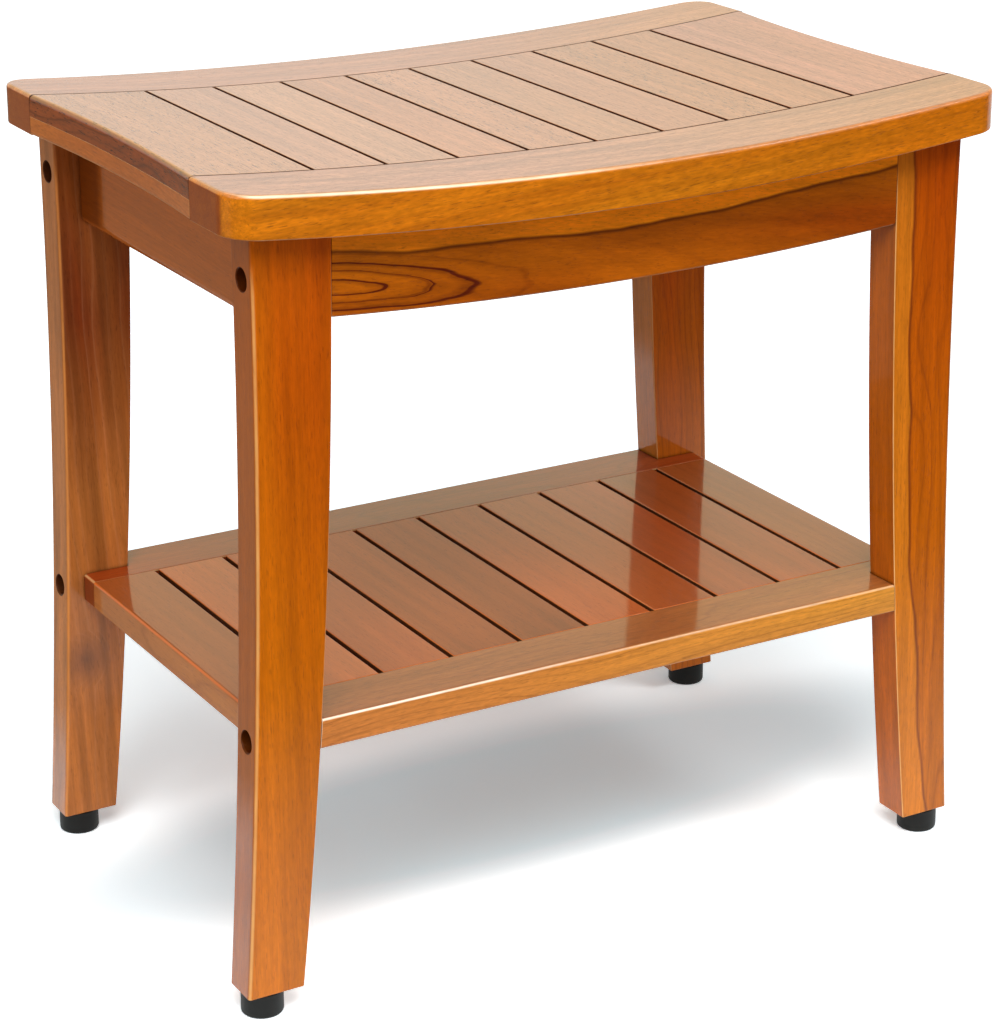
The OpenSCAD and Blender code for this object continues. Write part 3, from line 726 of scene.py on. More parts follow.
# %% Sizes of the seat
SEAT_LEN = 490.0
SEAT_H = 472.5
SEAT_DIP = 11.5
SEAT_DEPTH = 326.0
SEAT_BOW = 6.5            # how far the long edges bow out
CORNER_R = 18.0
RAIL_T = 23.5
SLAT_T = 12.5
SEAT_RUN = 216.0          # a slat's length between the rails
SEAT_PITCH = 43.4
SEAT_GAP = 2.2
BATTEN_W = 57.0
TONGUE = (4.0, 9.0)       # a tongue's upper and lower face, under the slat's top
TONGUE_LEN = 6.0
GROOVE_LEN = 6.3
GROOVE_END = 237.0        # the grooves stop this far from the middle
END_HOLLOW = 5.0          # how far the middle of each end is drawn in
END_STEPS = 8


def arc_radius(half_chord, rise):
    """Radius of the arc that rises by `rise` in the middle of its chord."""
    return (half_chord ** 2 + rise ** 2) / (2 * rise)


DISH_R = arc_radius(SEAT_LEN / 2, SEAT_DIP)
DISH_Z = SEAT_H - SEAT_DIP + DISH_R
BOW_R = arc_radius(SEAT_LEN / 2, SEAT_BOW)
BOW_Y = BOW_R - SEAT_DEPTH / 2


def seat_z(x, depth):
    """Height of the seat at x, `depth` under its top."""
    return DISH_Z - math.sqrt((DISH_R + depth) ** 2 - x * x)


print("dish radius", round(DISH_R), "mm, bow radius", round(BOW_R), "mm")

# %% [markdown]
# ## Seat rails
# Each rail is one board, 23.5 mm thick, sawn to the dish and to the bow, with the seat's round
# corners on its ends. Its outline is taken as pairs of points, one on the outer edge and one on
# the inner, so that the long curved faces are clean four-sided strips under the varnish. Where
# slats meet the rail the joint is a fine dark line, so faces near it are marked as unvarnished.

# %% A rail's outline
CORNER_STEPS = 9
BOW_STEPS = 30


def rail_outline():
    """The back rail's outline from above (mm), and the faces that fill it: clean strips between
    the bowed outer edge and the straight inner one, and one face at each round corner."""
    corner_x = SEAT_LEN / 2 - CORNER_R
    turn = math.asin(corner_x / (BOW_R - CORNER_R))
    corner_y = (BOW_R - CORNER_R) * math.cos(turn) - BOW_Y
    last_x = BOW_R * math.sin(turn)
    arc = [(math.pi / 2 - turn) * k / CORNER_STEPS for k in range(CORNER_STEPS)]
    right = [(corner_x + CORNER_R * math.cos(t), corner_y + CORNER_R * math.sin(t)) for t in arc]
    stations = [-last_x + 2 * last_x * k / BOW_STEPS for k in range(BOW_STEPS + 1)]
    bow = [(x, math.sqrt(BOW_R ** 2 - x * x) - BOW_Y) for x in stations]
    outer = [(-x, y) for x, y in right] + bow + right[::-1]
    inner = [(x, SEAT_RUN / 2) for x in [SEAT_LEN / 2] + stations[::-1] + [-SEAT_LEN / 2]]
    count = len(outer)
    last = count + len(inner) - 1
    first_bow, last_bow = CORNER_STEPS, CORNER_STEPS + BOW_STEPS
    strips = [(first_bow + k, first_bow + k + 1, last - 2 - k, last - 1 - k) for k in range(BOW_STEPS)]
    strips.append([last, *range(first_bow + 1), last - 1])
    strips.append([*range(last_bow, count + 2)])
    return outer + inner, strips, count


print("a rail's outline has", len(rail_outline()[0]), "points")

# %% Seat rails
TOP_ARRIS = 2.6
LOW_ARRIS = 1.0
GROOVE_STEPS = 24
SEAM = 0.90               # how far a dark seam reaches into the board on each side


def seat_rail(name, side, material):
    """A seat rail with the groove for the slats' tongues."""
    loop, strips, count = rail_outline()
    size = len(loop)
    rims = {i: (TOP_ARRIS, LOW_ARRIS) for i in range(count)}
    rims[size - 1] = (TOP_ARRIS, LOW_ARRIS)
    rims.update({i: (0.8, 0.5) for i in range(count, size - 1)})
    posts = {count: 0.3, size - 1: 0.3}

    def in_seat(u, v, w):
        """Bends the outline into the dish; `w` is the depth under the top."""
        return u, side * v, seat_z(u, w)

    piece = board(name, loop, [0, RAIL_T], in_seat, rims, posts, strips)
    steps = [-GROOVE_END + 2 * GROOVE_END * k / GROOVE_STEPS for k in range(GROOVE_STEPS + 1)]
    near, far = SEAT_RUN / 2 - 1, SEAT_RUN / 2 + GROOVE_LEN
    edge = [(x, far) for x in steps] + [(x, near) for x in reversed(steps)]
    last = len(edge) - 1
    bands = [(i, i + 1, last - 1 - i, last - i) for i in range(GROOVE_STEPS)]
    cut_away(piece, [board("groove", edge, TONGUE, in_seat, strips=bands)])
    return finish_piece(piece, "bench", material, name, lambda face: (
        abs(abs(face.calc_center_median().y) - SEAT_RUN / 2 * MM) < SEAM * MM))


# The rails' pale tops are partly a painted sheen. The cream along their top arrises is mostly a painted
# highlight, strongest towards the front rail's left end.
seat_rail("seat_front_rail", -1, varnished_teak(
    "teak_front_rail", "X", (0, -135, 455), "#BB660A", "#CB7F13", "#924205", pith=(30, 60),
    lean=(0.0, 4.0), ring=9.0, contrast=0.30, flecks=0.16, streaks=0.20, pores=0.8,
    facing=(UP, "#AD7A5B"), end_tone="#7A2905", worn="#FAE6C4", worn_by=0.90,
    worn_along=(-60, 10, 1.0, 0.12), worn_ends=0.1, seed=1))
seat_rail("seat_back_rail", 1, varnished_teak(
    "teak_back_rail", "X", (0, 135, 455), "#C4701C", "#D68C36", "#94480F", pith=(44, 70),
    lean=(0.4, 0.8), ring=5.0, contrast=0.35, streaks=0.18, pores=0.9, facing=(UP, "#B3795A"),
    end_tone="#853409", worn="#FFF3DC", worn_ends=0.1, seed=2))

# %% [markdown]
# ## Seat slats and battens
# Ten slats lie across the dish, tongued into grooves in the rails, with 2 mm gaps for the
# water. Slats cut from several boards never match, so each takes its own tone and its own
# place in the trunk. A batten thickens each end, so that the edge looks as heavy as the rails,
# and between the rails both are sawn to a shallow hollow. The two end slats and the battens
# therefore have their long faces cut into steps that can follow it.

# %% Seat slats' places and tones
SLATS = 10
# The slats' top tones are partly the wood's own and partly a painted sheen.
SEAT_TONES = ["#C48958", "#C3895F", "#C68D60", "#C08050", "#C48555",
              "#BD8356", "#BD8058", "#BB7E53", "#BB7D56", "#C3826A"]


def slat_span(i, pitch, gap, length):
    """Left and right side of slat i; the first and the last reach to the ends."""
    left = -length / 2 if i == 0 else (i - SLATS / 2) * pitch + gap / 2
    right = length / 2 if i == SLATS - 1 else (i + 1 - SLATS / 2) * pitch - gap / 2
    return left, right


print("seat slat 2 lies from", slat_span(1, SEAT_PITCH, SEAT_GAP, SEAT_LEN), "mm")


# %% A slat's section
def slat_section(half_run, top, bottom, tongue, steps=1):
    """A slat's section along its length: the board and a tongue at each end (y, depth)."""
    out = half_run + TONGUE_LEN
    run = [-half_run + 2 * half_run * k / steps for k in range(steps + 1)]
    return [(y, top) for y in run] + [
        (half_run, tongue[0]), (out, tongue[0]), (out, tongue[1]), (half_run, tongue[1])] + [
        (y, bottom) for y in run[::-1]] + [
        (-half_run, tongue[1]), (-out, tongue[1]), (-out, tongue[0]), (-half_run, tongue[0])]


def section_faces(steps):
    """The faces that fill a slat's section when its top and bottom are cut into steps."""
    low = 2 * steps + 5
    faces = [(k, k + 1, low - 1 - k, low - k) for k in range(1, steps - 1)]
    faces.append((steps - 1, steps, steps + 1, steps + 4, steps + 5, steps + 6))
    faces.append((0, 1, low - 1, low, low + 1, low + 4))
    return faces + [(steps + 1, steps + 2, steps + 3, steps + 4), (low + 1, low + 2, low + 3, low + 4)]


# %% Slats
EASED = 0.6               # a gap's lower arrises are only eased
CUTTER_SPARE = 10.0       # how far a cutter reaches beyond what it cuts
CUTTER_LEN = 20.0
CUTTER_TOP = 600.0


def box_cutter(low, high):
    """A closed box between two corners."""
    edge = [(low[0], low[1]), (high[0], low[1]), (high[0], high[1]), (low[0], high[1])]
    return board("box", edge, [low[2], high[2]], lambda u, v, w: (u, v, w))


def slat(name, i, spans, section, place, ends, outer_r, seam_r, material, stop, seam=0.0):
    """Slat i. `ends` holds its upper rims' radii, at the bench's own end and at a gap, and
    `outer_r` the lower one's at the end; `seam_r` rounds the ends that meet the rails. The end
    slats' tongues are cut off beyond `stop`, and `seam` is the dark joint's width."""
    left, right = spans
    first = ends[0] if i == 0 else ends[1]
    last = ends[0] if i == SLATS - 1 else ends[1]
    levels = [left + (right - left) * k / 4 for k in range(5)]
    steps = (len(section) - 10) // 2
    low = (outer_r if i == 0 else EASED, outer_r if i == SLATS - 1 else EASED)
    rims = {k: (first, last) for k in range(steps)}
    rims.update({steps + 5 + k: low for k in range(steps)})
    rims.update({steps: (seam_r, seam_r), len(section) - 1: (seam_r, seam_r)})
    piece = board(name, section, levels, place, rims, {0: seam_r, steps: seam_r},
                  section_faces(steps) if steps > 1 else None)
    if i in (0, SLATS - 1):
        out = -1 if i == 0 else 1
        half = section[steps][0]
        span = sorted([out * stop, out * (stop + CUTTER_LEN)])
        cut_away(piece, [box_cutter((span[0], s * half - (s < 0) * CUTTER_SPARE, 0),
                                    (span[1], s * half + (s > 0) * CUTTER_SPARE, CUTTER_TOP))
                         for s in (-1, 1)])
    return finish_piece(piece, "bench", material, name, lambda face: (
        abs(face.normal.x) > 0.9 and abs(face.calc_center_median().x) < stop * MM
        or abs(abs(face.calc_center_median().y) - section[steps][0] * MM) < seam * MM))


def in_dish(v, w, x):
    """A point of the seat; its two ends are hollowed a little between the rails."""
    near_end = max(0.0, (abs(x) - SEAT_LEN / 2 + BATTEN_W) / BATTEN_W)
    hollow = END_HOLLOW * near_end * (1 - min(1.0, abs(v) / (SEAT_RUN / 2)) ** 2)
    x -= math.copysign(hollow, x)
    return x, v, seat_z(x, w)


# %% Seat slats
SEAT_TONGUE_STOP = 236.0
OPEN_PORED = (0, 4, 7)    # slats from coarser wood

for i in range(SLATS):
    name = "seat_slat_%02d" % (i + 1)
    spans = slat_span(i, SEAT_PITCH, SEAT_GAP, SEAT_LEN)
    teak = varnished_teak("teak_" + name, "Y", (sum(spans) / 2, 0, 465), "#883F17", "#A65A2A",
                          "#3E1C0A", pith=(20 + 9 * (i * 7 % 5), 30 + 6 * (i * 3 % 4)),
                          lean=(0.5 * (i % 3) - 0.5, 1.5), ring=4.0, contrast=0.6, fibres=0.12,
                          streaks=0.14, pores=1.9 if i in OPEN_PORED else 0.9,
                          facing=(UP, SEAT_TONES[i]), worn_by=0.1, seed=3 + i)
    steps = END_STEPS if i in (0, SLATS - 1) else 1
    slat(name, i, spans, slat_section(SEAT_RUN / 2, 0, SLAT_T, TONGUE, steps), in_dish, (3.2, 0.35),
         0.2, 0.75, teak, SEAT_TONGUE_STOP, SEAM)

# %% Seat battens
for side, word in ((-1, "left"), (1, "right")):
    name = "seat_batten_" + word
    edges = sorted([side * SEAT_LEN / 2, side * (SEAT_LEN / 2 - BATTEN_W)])
    levels = [edges[0] + (edges[1] - edges[0]) * k / 5 for k in range(6)]
    half = SEAT_RUN / 2
    run = [-half + 2 * half * k / END_STEPS for k in range(END_STEPS + 1)]
    section = [(y, SLAT_T) for y in run] + [(y, RAIL_T) for y in run[::-1]]
    last = len(section) - 1
    rims = {k: (0.2, 0.2) for k in range(last + 1)}
    rims.update({END_STEPS + 1 + k: (2.4, 1.2) if side < 0 else (1.2, 2.4) for k in range(END_STEPS)})
    piece = board(name, section, levels, in_dish, rims, {END_STEPS + 1: 0.4, last: 0.4},
                  [(k, k + 1, last - 1 - k, last - k) for k in range(END_STEPS)])
    finish_piece(piece, "bench", varnished_teak(
        "teak_" + name, "Y", (side * 216, 0, 450), "#B55F22", "#C87733", "#894113",
        pith=(50, 30), ring=5.0, contrast=0.3, seed=20 + side), name)

# %% [markdown]
# ## Legs
# Each leg is sawn from a 24.5 mm board between two long arcs that flare towards the floor, and
# cut off under the dished seat. Its outer arrises are well rounded, where a hand meets them,
# and the inner ones just eased, where aprons and shelf stand against them. The bolt holes in
# the narrow outer face go down to the heads of the furniture bolts, which stay the CAD ones.

# %% Sizes of the legs
LEG_Y = 142.5             # a leg's outer face, and the long aprons' with it
LEG_T = 24.5
LEG_OUT = (227.2, 381.0, 13.0)   # where an edge stands nearest the middle, its height, its flare
LEG_IN = (181.1, 475.0, 25.2)
FOOT_H = 14.2
FOOT_X = 226.5
SHELF_Z = 172.0
SHELF_T = 17.5
SHELF_MID = SHELF_Z - SHELF_T / 2
print("the boards of the shelf have their middle at z =", SHELF_MID, "mm")

# %% Sizes of the joints
BOLT_Y = LEG_Y - LEG_T / 2
BOLT_LEN = 60.0
BOLT_PAST_NUT = 8.0
BOLT_BORE_PAST_NUT = 14.0
BOLT_BORE_R = 3.5
HEAD_BORE_R = 6.3
HEAD_BORE_RIM_R = 7.8
NUT_INSET = 25.0
NUT_BORE_R = 5.0
NUT_BORE_RIM_R = 5.6
NUT_BORE_PAST = 6.5
APRON_BOLT_Z = SEAT_H - 52
DOWEL_R = 4.0
DOWEL_IN_LEG = 11.0
DOWEL_IN_APRON = 15.0
DOWEL_OFF = 13.5          # a dowel lies this far above and below each apron bolt
SIDE_DOWELS = (SEAT_H - 38.5, SEAT_H - 72.5)
SIDE_APRON_MID = 203.5
SCREW_WELL_R = 5.0
SCREW_BORE_R = 2.3
SCREW_GRIP = 18.0
BUSH_R = 6.0
BUSH_TOP = FOOT_H + 14
STUD_BORE_R = 4.6
STUD_BORE_TOP = FOOT_H + 23
# Cutters start or end well outside the wood, at these places.
DRILL_X = 150.0
DRILL_Y = 110.0
DRILL_Z = 360.0
FOOT_DRILL_Z = 5.0
CORNERS = {"front_left": (-1, -1), "back_left": (-1, 1), "front_right": (1, -1), "back_right": (1, 1)}


def leg_edge(shape, z):
    """The x of a leg's edge at height z: a long arc that flares towards the floor."""
    near, level, flare = shape
    radius = arc_radius(level - FOOT_H, flare)
    return near + radius - math.sqrt(radius ** 2 - (z - level) ** 2)


HEAD_X = {z: leg_edge(LEG_IN, z) - NUT_INSET + BOLT_LEN - BOLT_PAST_NUT
          for z in (APRON_BOLT_Z, SHELF_MID)}
print("bolt heads sit at x =", [round(x, 1) for x in HEAD_X.values()], "mm")


# %% Holes in a leg
def leg_holes(sx, sy):
    """Everything drilled into a leg: bolt holes, dowel holes and the bore for its foot."""
    tools = []
    for z, head in HEAD_X.items():
        face = leg_edge(LEG_OUT, z)
        tools.append(turned("bolt_hole", (sx * DRILL_X, sy * BOLT_Y, z), (sx, 0, 0), [
            (0, BOLT_BORE_R), (head - DRILL_X, BOLT_BORE_R), (head - DRILL_X, HEAD_BORE_R),
            (face - DRILL_X - 0.5, HEAD_BORE_R), (face - DRILL_X + 1, HEAD_BORE_RIM_R)]))
    deep = leg_edge(LEG_IN, APRON_BOLT_Z) + DOWEL_IN_LEG
    for s in (-1, 1):
        start = (sx * DRILL_X, sy * BOLT_Y, APRON_BOLT_Z + s * DOWEL_OFF)
        tools.append(turned("dowel_hole", start, (sx, 0, 0),
                            [(0, DOWEL_R), (deep - DRILL_X, DOWEL_R)], 24))
    inside = LEG_Y - LEG_T
    for z in SIDE_DOWELS:
        tools.append(turned("dowel_hole", (sx * SIDE_APRON_MID, sy * DRILL_Y, z), (0, sy, 0),
                            [(0, DOWEL_R), (inside - DRILL_Y + DOWEL_IN_LEG, DOWEL_R)], 24))
    bush, stud = BUSH_TOP - FOOT_DRILL_Z, STUD_BORE_TOP - FOOT_DRILL_Z
    tools.append(turned("foot_bore", (sx * FOOT_X, sy * BOLT_Y, FOOT_DRILL_Z), UP, [
        (0, BUSH_R), (bush, BUSH_R), (bush, STUD_BORE_R), (stud, STUD_BORE_R)], 32))
    return tools


# %% A leg
LEG_STEPS = 26
LEG_STEPS_TOP = 430.0     # the last even step; the cut under the seat follows it
OUTER_R = (2.2, 2.6)      # the outer edge's arrises, at the leg's hidden side and at its face
INNER_R = (0.9, 0.9)


def leg(name, sx, sy, material):
    """One leg, sawn, rounded and drilled."""
    heights = [FOOT_H + (LEG_STEPS_TOP - FOOT_H) * k / LEG_STEPS for k in range(LEG_STEPS + 1)]
    outer = [(leg_edge(LEG_OUT, z), z) for z in heights + [seat_z(LEG_OUT[0], RAIL_T)]]
    inner = [(leg_edge(LEG_IN, z), z) for z in heights + [seat_z(LEG_IN[0], RAIL_T)]]
    loop = outer + inner[::-1]
    count = len(outer)
    rims = {i: OUTER_R for i in range(count - 1)}
    rims.update({i: INNER_R for i in range(count, 2 * count - 1)})
    rims[2 * count - 1] = (1.0, 1.0)
    strips = [(i, i + 1, 2 * count - 2 - i, 2 * count - 1 - i) for i in range(count - 1)]
    piece = board(name, loop, [LEG_Y - LEG_T, LEG_Y], lambda u, v, w: (sx * u, sy * w, v),
                  rims, {0: 1.0, 2 * count - 1: 1.0}, strips)
    cut_away(piece, leg_holes(sx, sy))
    return finish_piece(piece, "bench", material, name)


# %% Legs
# On the legs the darker upper tone is painted shade under the seat, the tones of the left faces are
# painted light and shade, and the pale arrises are partly painted highlight.
LEG_LOOKS = {
    "front_left": dict(body="#BB6502", upper="#AC4400", pale="#CD7508", line="#943C05", worn="#F2BC74",
                       ring=6.0, contrast=0.20, flecks=0.07, fibres=0.09, streaks=0.16, drift=0.35,
                       pith=(40, 120), lean=(0.0, 0.6), facing=(LEFT, "#9A4B00")),
    "back_left": dict(body="#AA642B", upper="#5E1000", pale="#BC7031", line="#D8986A", worn="#E8964A",
                      ring=7.0, contrast=0.15, flecks=0.05, fibres=0.08, streaks=0.30, drift=0.5,
                      pith=(8, 30), lean=(1.0, 3.2), heart=60, wander=12, rise=(-0.1, 0.5),
                      end_tone="#7A4020", facing=(LEFT, "#B66E36"), knots=[(-222, 118, 116, 19)]),
    "front_right": dict(body="#BF6903", upper="#A84000", pale="#C36304", line="#6A2A06",
                        ring=5.5, contrast=0.50, flecks=0.06, streaks=0.18, drift=0.30,
                        pith=(60, 40), lean=(0.6, 0.9), facing=(LEFT, "#B45702"),
                        sap=((-1, 0, -0.07), -216.9, 5.5, 2.5, "#CD7719", 0.7, "#6A2C0C", 1.0)),
    "back_right": dict(body="#C46301", upper="#8B1700", pale="#C77816", line="#5E2A0C",
                       ring=4.6, contrast=0.45, flecks=0.06, streaks=0.12, drift=0.30,
                       pith=(26, 40), lean=(-0.8, 2.0), facing=(LEFT, "#CE7C1A"))}
for k, (corner, (sx, sy)) in enumerate(CORNERS.items()):
    leg("leg_" + corner, sx, sy, varnished_teak(
        "teak_leg_" + corner, "Z", (sx * 210, sy * BOLT_Y, 240), seed=30 + k, **LEG_LOOKS[corner]))

# %% [markdown]
# ## Aprons
# The front and back aprons stand flush with the legs under the seat, and their lower edges
# rise a little towards the legs. They are flat-sawn, and their dark arches are the strongest
# figure on the bench. The side aprons are plain, with a rounded lower edge.

# %% Holes in the long aprons
APRON_T = 20.0
APRON_LOW_Z = SEAT_H - 82.5
APRON_SAG = 6.5
APRON_R = arc_radius(LEG_IN[0], APRON_SAG)
APRON_STEPS = 24
SCREW_X = 95.0
NUT_DRILL_Y = 115.0


def apron_holes(side):
    """Bolts and dowels at both ends, and the wells of the two screws into the seat."""
    tools = []
    end_x = leg_edge(LEG_IN, APRON_BOLT_Z)
    nut_x = end_x - NUT_INSET
    for sx in (-1, 1):
        start = (sx * (nut_x - BOLT_BORE_PAST_NUT), side * BOLT_Y, APRON_BOLT_Z)
        tools.append(turned("bolt_hole", start, (sx, 0, 0), [(0, BOLT_BORE_R), (60, BOLT_BORE_R)], 24))
        for s in (-1, 1):
            start = (sx * (end_x - DOWEL_IN_APRON), side * BOLT_Y, APRON_BOLT_Z + s * DOWEL_OFF)
            tools.append(turned("dowel_hole", start, (sx, 0, 0), [(0, DOWEL_R), (40, DOWEL_R)], 24))
        tools.append(screw_well(sx * SCREW_X, side * (BOLT_Y - 1)))
    return tools


def screw_well(x, y):
    """A well that is drilled up for a screw's head, and its clearance hole up into the seat."""
    well = seat_z(x, RAIL_T) - SCREW_GRIP - DRILL_Z
    return turned("screw_well", (x, y, DRILL_Z), UP, [
        (0, SCREW_WELL_R), (well, SCREW_WELL_R), (well, SCREW_BORE_R), (120, SCREW_BORE_R)], 32)


def nut_holes(side):
    """Bores for the barrel nuts, from the aprons' inner faces to just past the bolts."""
    nut_x = leg_edge(LEG_IN, APRON_BOLT_Z) - NUT_INSET
    face = LEG_Y - APRON_T - NUT_DRILL_Y
    return [turned("nut_hole", (sx * nut_x, side * NUT_DRILL_Y, APRON_BOLT_Z), (0, side, 0), [
        (0, NUT_BORE_RIM_R), (face, NUT_BORE_RIM_R), (face + 0.4, NUT_BORE_R),
        (BOLT_Y + NUT_BORE_PAST - NUT_DRILL_Y, NUT_BORE_R)], 32) for sx in (-1, 1)]


# %% Front and back aprons
APRON_TOP_Z = 438.0       # about where the seat's underside meets the legs


def long_apron(name, side, material):
    """The front or back apron: a straight board with a bowed lower edge, cut to the dish above."""
    top, low = [], []
    for k in range(APRON_STEPS + 1):
        t = -1 + 2 * k / APRON_STEPS
        x_top = t * leg_edge(LEG_IN, APRON_TOP_Z)
        x_low = t * leg_edge(LEG_IN, APRON_LOW_Z + APRON_SAG)
        top.append((x_top, seat_z(x_top, RAIL_T)))
        low.append((x_low, APRON_LOW_Z + APRON_R - math.sqrt(APRON_R ** 2 - x_low ** 2)))
    count = len(top)
    loop = top + low[::-1]
    strips = [(i, i + 1, 2 * count - 2 - i, 2 * count - 1 - i) for i in range(count - 1)]
    rims = {i: (1.2, 1.6) for i in range(count, 2 * count - 1)}
    rims.update({count - 1: (0.4, 0.8), 2 * count - 1: (0.4, 0.8)})
    piece = board(name, loop, [LEG_Y - APRON_T, LEG_Y], lambda u, v, w: (u, side * w, v), rims,
                  {count: 4.0, 2 * count - 1: 1.0}, strips)
    cut_away(piece, apron_holes(side))
    cut_away(piece, nut_holes(side))
    return finish_piece(piece, "bench", material, name)


# The golden band is weaker towards the apron's left end, a painted shade under the seat rail.
long_apron("front_apron", -1, varnished_teak(
    "teak_front_apron", "X", (0, -132, 415), "#9C4603", "#CC7109", "#561A04", upper="#8A3A02",
    pith=(33.5, 21), lean=(7.1, -5.7), ring=4.4, contrast=1.7, heart=14, wander=5, flecks=0.06,
    streaks=0.16, sap=(UP, 421, -10, 2.0, "#FD8E10", 0.90, "#421604", 0.5), seed=41))
long_apron("back_apron", 1, varnished_teak(
    "teak_back_apron", "X", (0, 132, 415), "#AC5E1C", "#C07828", "#66290C", pith=(10, 40),
    lean=(0.0, -3.0), ring=6.0, contrast=0.6, flecks=0.05, seed=42))

# %% Side aprons
SIDE_APRON_X = 212.5
SIDE_APRON_T = 18.0
SIDE_APRON_Z = SEAT_H - 82.5
SIDE_APRON_R = 6.0
SIDE_APRON_STEPS = 8
SIDE_SCREW_Y = 60.0


def side_apron(name, sx, material):
    """A side apron: its outline is seen from the front and pushed through from leg to leg."""
    inner = SIDE_APRON_X - SIDE_APRON_T
    loop = [(inner, seat_z(inner, RAIL_T)), (SIDE_APRON_X, seat_z(SIDE_APRON_X, RAIL_T))]
    for k in range(SIDE_APRON_STEPS + 1):
        angle = -math.pi / 2 * k / SIDE_APRON_STEPS
        loop.append((SIDE_APRON_X - SIDE_APRON_R + SIDE_APRON_R * math.cos(angle),
                     SIDE_APRON_Z + SIDE_APRON_R + SIDE_APRON_R * math.sin(angle)))
    loop.append((inner, SIDE_APRON_Z))
    half = LEG_Y - LEG_T
    rims = {i: (0.5, 0.5) for i in range(1, len(loop))}
    piece = board(name, loop, [-half, half], lambda u, v, w: (sx * u, w, v), rims,
                  {len(loop) - 1: 1.2})
    tools = []
    for sy in (-1, 1):
        for z in SIDE_DOWELS:
            start = (sx * SIDE_APRON_MID, sy * (half - DOWEL_IN_APRON), z)
            tools.append(turned("dowel_hole", start, (0, sy, 0), [(0, DOWEL_R), (30, DOWEL_R)], 24))
        tools.append(screw_well(sx * SIDE_APRON_MID, sy * SIDE_SCREW_Y))
    cut_away(piece, tools)
    return finish_piece(piece, "bench", material, name)


# The left one is painted darker where it runs in behind the leg: a painted shade.
for sx, word, far_tone in ((-1, "left", "#4E1C04"), (1, "right", "#AC5814")):
    side_apron("side_apron_" + word, sx, varnished_teak(
        "teak_side_apron_" + word, "Y", (sx * 197, 0, 415), "#AE550B", "#C36811", "#7C3704",
        facing=((sx, 0, 0), "#AC5814", far_tone), rise=(0.44, 0.52), pith=(60, 60), ring=5.0,
        contrast=0.3, flecks=0.05, seed=50 + sx))

# %% [markdown]
# ## Shelf
# The shelf is built like the seat but flat: two rails, notched round the legs, and ten slats
# tongued between them. The edges along its gaps and seams are broken a little wider than on
# the seat, and they catch the light as thin bright lines, helped by a painted orange highlight.

# %% Shelf rails
SHELF_LEN = 442.0
SHELF_RUN = 206.0
SHELF_PITCH = 45.0
SHELF_GAP = 3.0
SHELF_GROOVE_END = 213.0
SHELF_TONGUE = (SHELF_MID + 2.5, SHELF_MID - 2.5)
NOTCH_X = 192.0           # stands for the leg's curved edge until the board is placed
NUT_DRILL_Z = 140.0


def shelf_rail(name, side, material):
    """A shelf rail with its two notches, its groove and its bolt and nut holes."""
    near, leg_face, far = SHELF_RUN / 2, LEG_Y - LEG_T, LEG_Y
    end = SHELF_LEN / 2
    loop = [(-end, near), (end, near), (end, leg_face), (NOTCH_X, leg_face), (NOTCH_X, far),
            (-NOTCH_X, far), (-NOTCH_X, leg_face), (-end, leg_face)]

    def notched(u, v, z):
        """The notches' corners follow the legs' inner edges."""
        if abs(u) == NOTCH_X:
            u = math.copysign(leg_edge(LEG_IN, z), u)
        return u, side * v, z

    rims = {0: (0.5, 0.6), 1: (2.4, 2.0), 2: (0.5, 0.5), 3: (0.9, 0.9), 4: (2.0, 1.6),
            5: (0.9, 0.9), 6: (0.5, 0.5), 7: (2.4, 2.0)}
    low = SHELF_Z - SHELF_T
    piece = board(name, loop, [SHELF_Z, low], notched, rims, {4: 0.3, 5: 0.3, 2: 0.6, 7: 0.6})
    first, last = sorted((side * (near - 1), side * (near + GROOVE_LEN)))
    tools = [box_cutter((-SHELF_GROOVE_END, first, SHELF_TONGUE[1]),
                        (SHELF_GROOVE_END, last, SHELF_TONGUE[0]))]
    nut_x = leg_edge(LEG_IN, SHELF_MID) - NUT_INSET
    for sx in (-1, 1):
        start = (sx * (nut_x - BOLT_BORE_PAST_NUT), side * BOLT_Y, SHELF_MID)
        tools.append(turned("bolt_hole", start, (sx, 0, 0), [(0, BOLT_BORE_R), (50, BOLT_BORE_R)], 24))
    cut_away(piece, tools)
    cut_away(piece, [turned("nut_hole", (sx * nut_x, side * BOLT_Y, NUT_DRILL_Z), UP, [
        (0, NUT_BORE_RIM_R), (low - NUT_DRILL_Z, NUT_BORE_RIM_R), (low - NUT_DRILL_Z + 0.4, NUT_BORE_R),
        (SHELF_MID + NUT_BORE_PAST - NUT_DRILL_Z, NUT_BORE_R)], 32) for sx in (-1, 1)])
    return finish_piece(piece, "bench", material, name)


# The cream along the front rail's top arris is mostly a painted highlight, strongest towards its left
# end.
shelf_rail("shelf_front_rail", -1, varnished_teak(
    "teak_shelf_front_rail", "X", (0, -122, 163), "#B86B2D", "#D08542", "#6A2E08", upper="#E09634",
    pith=(30, 52), lean=(0.6, 1.4), ring=4.4, contrast=0.45, fibres=0.08, facing=(UP, "#874423"),
    worn="#FFF3DC", worn_by=0.95, worn_along=(-90, -20, 1.0, 0.3), seed=61))
shelf_rail("shelf_back_rail", 1, varnished_teak(
    "teak_shelf_back_rail", "X", (0, 122, 163), "#A03C0C", "#AE4A18", "#6E2A0C", pith=(50, 60),
    lean=(0.3, 0.8), ring=5.0, contrast=0.3, flecks=0.06, seed=62))

# %% Shelf slats
SHELF_TONGUE_STOP = 212.0
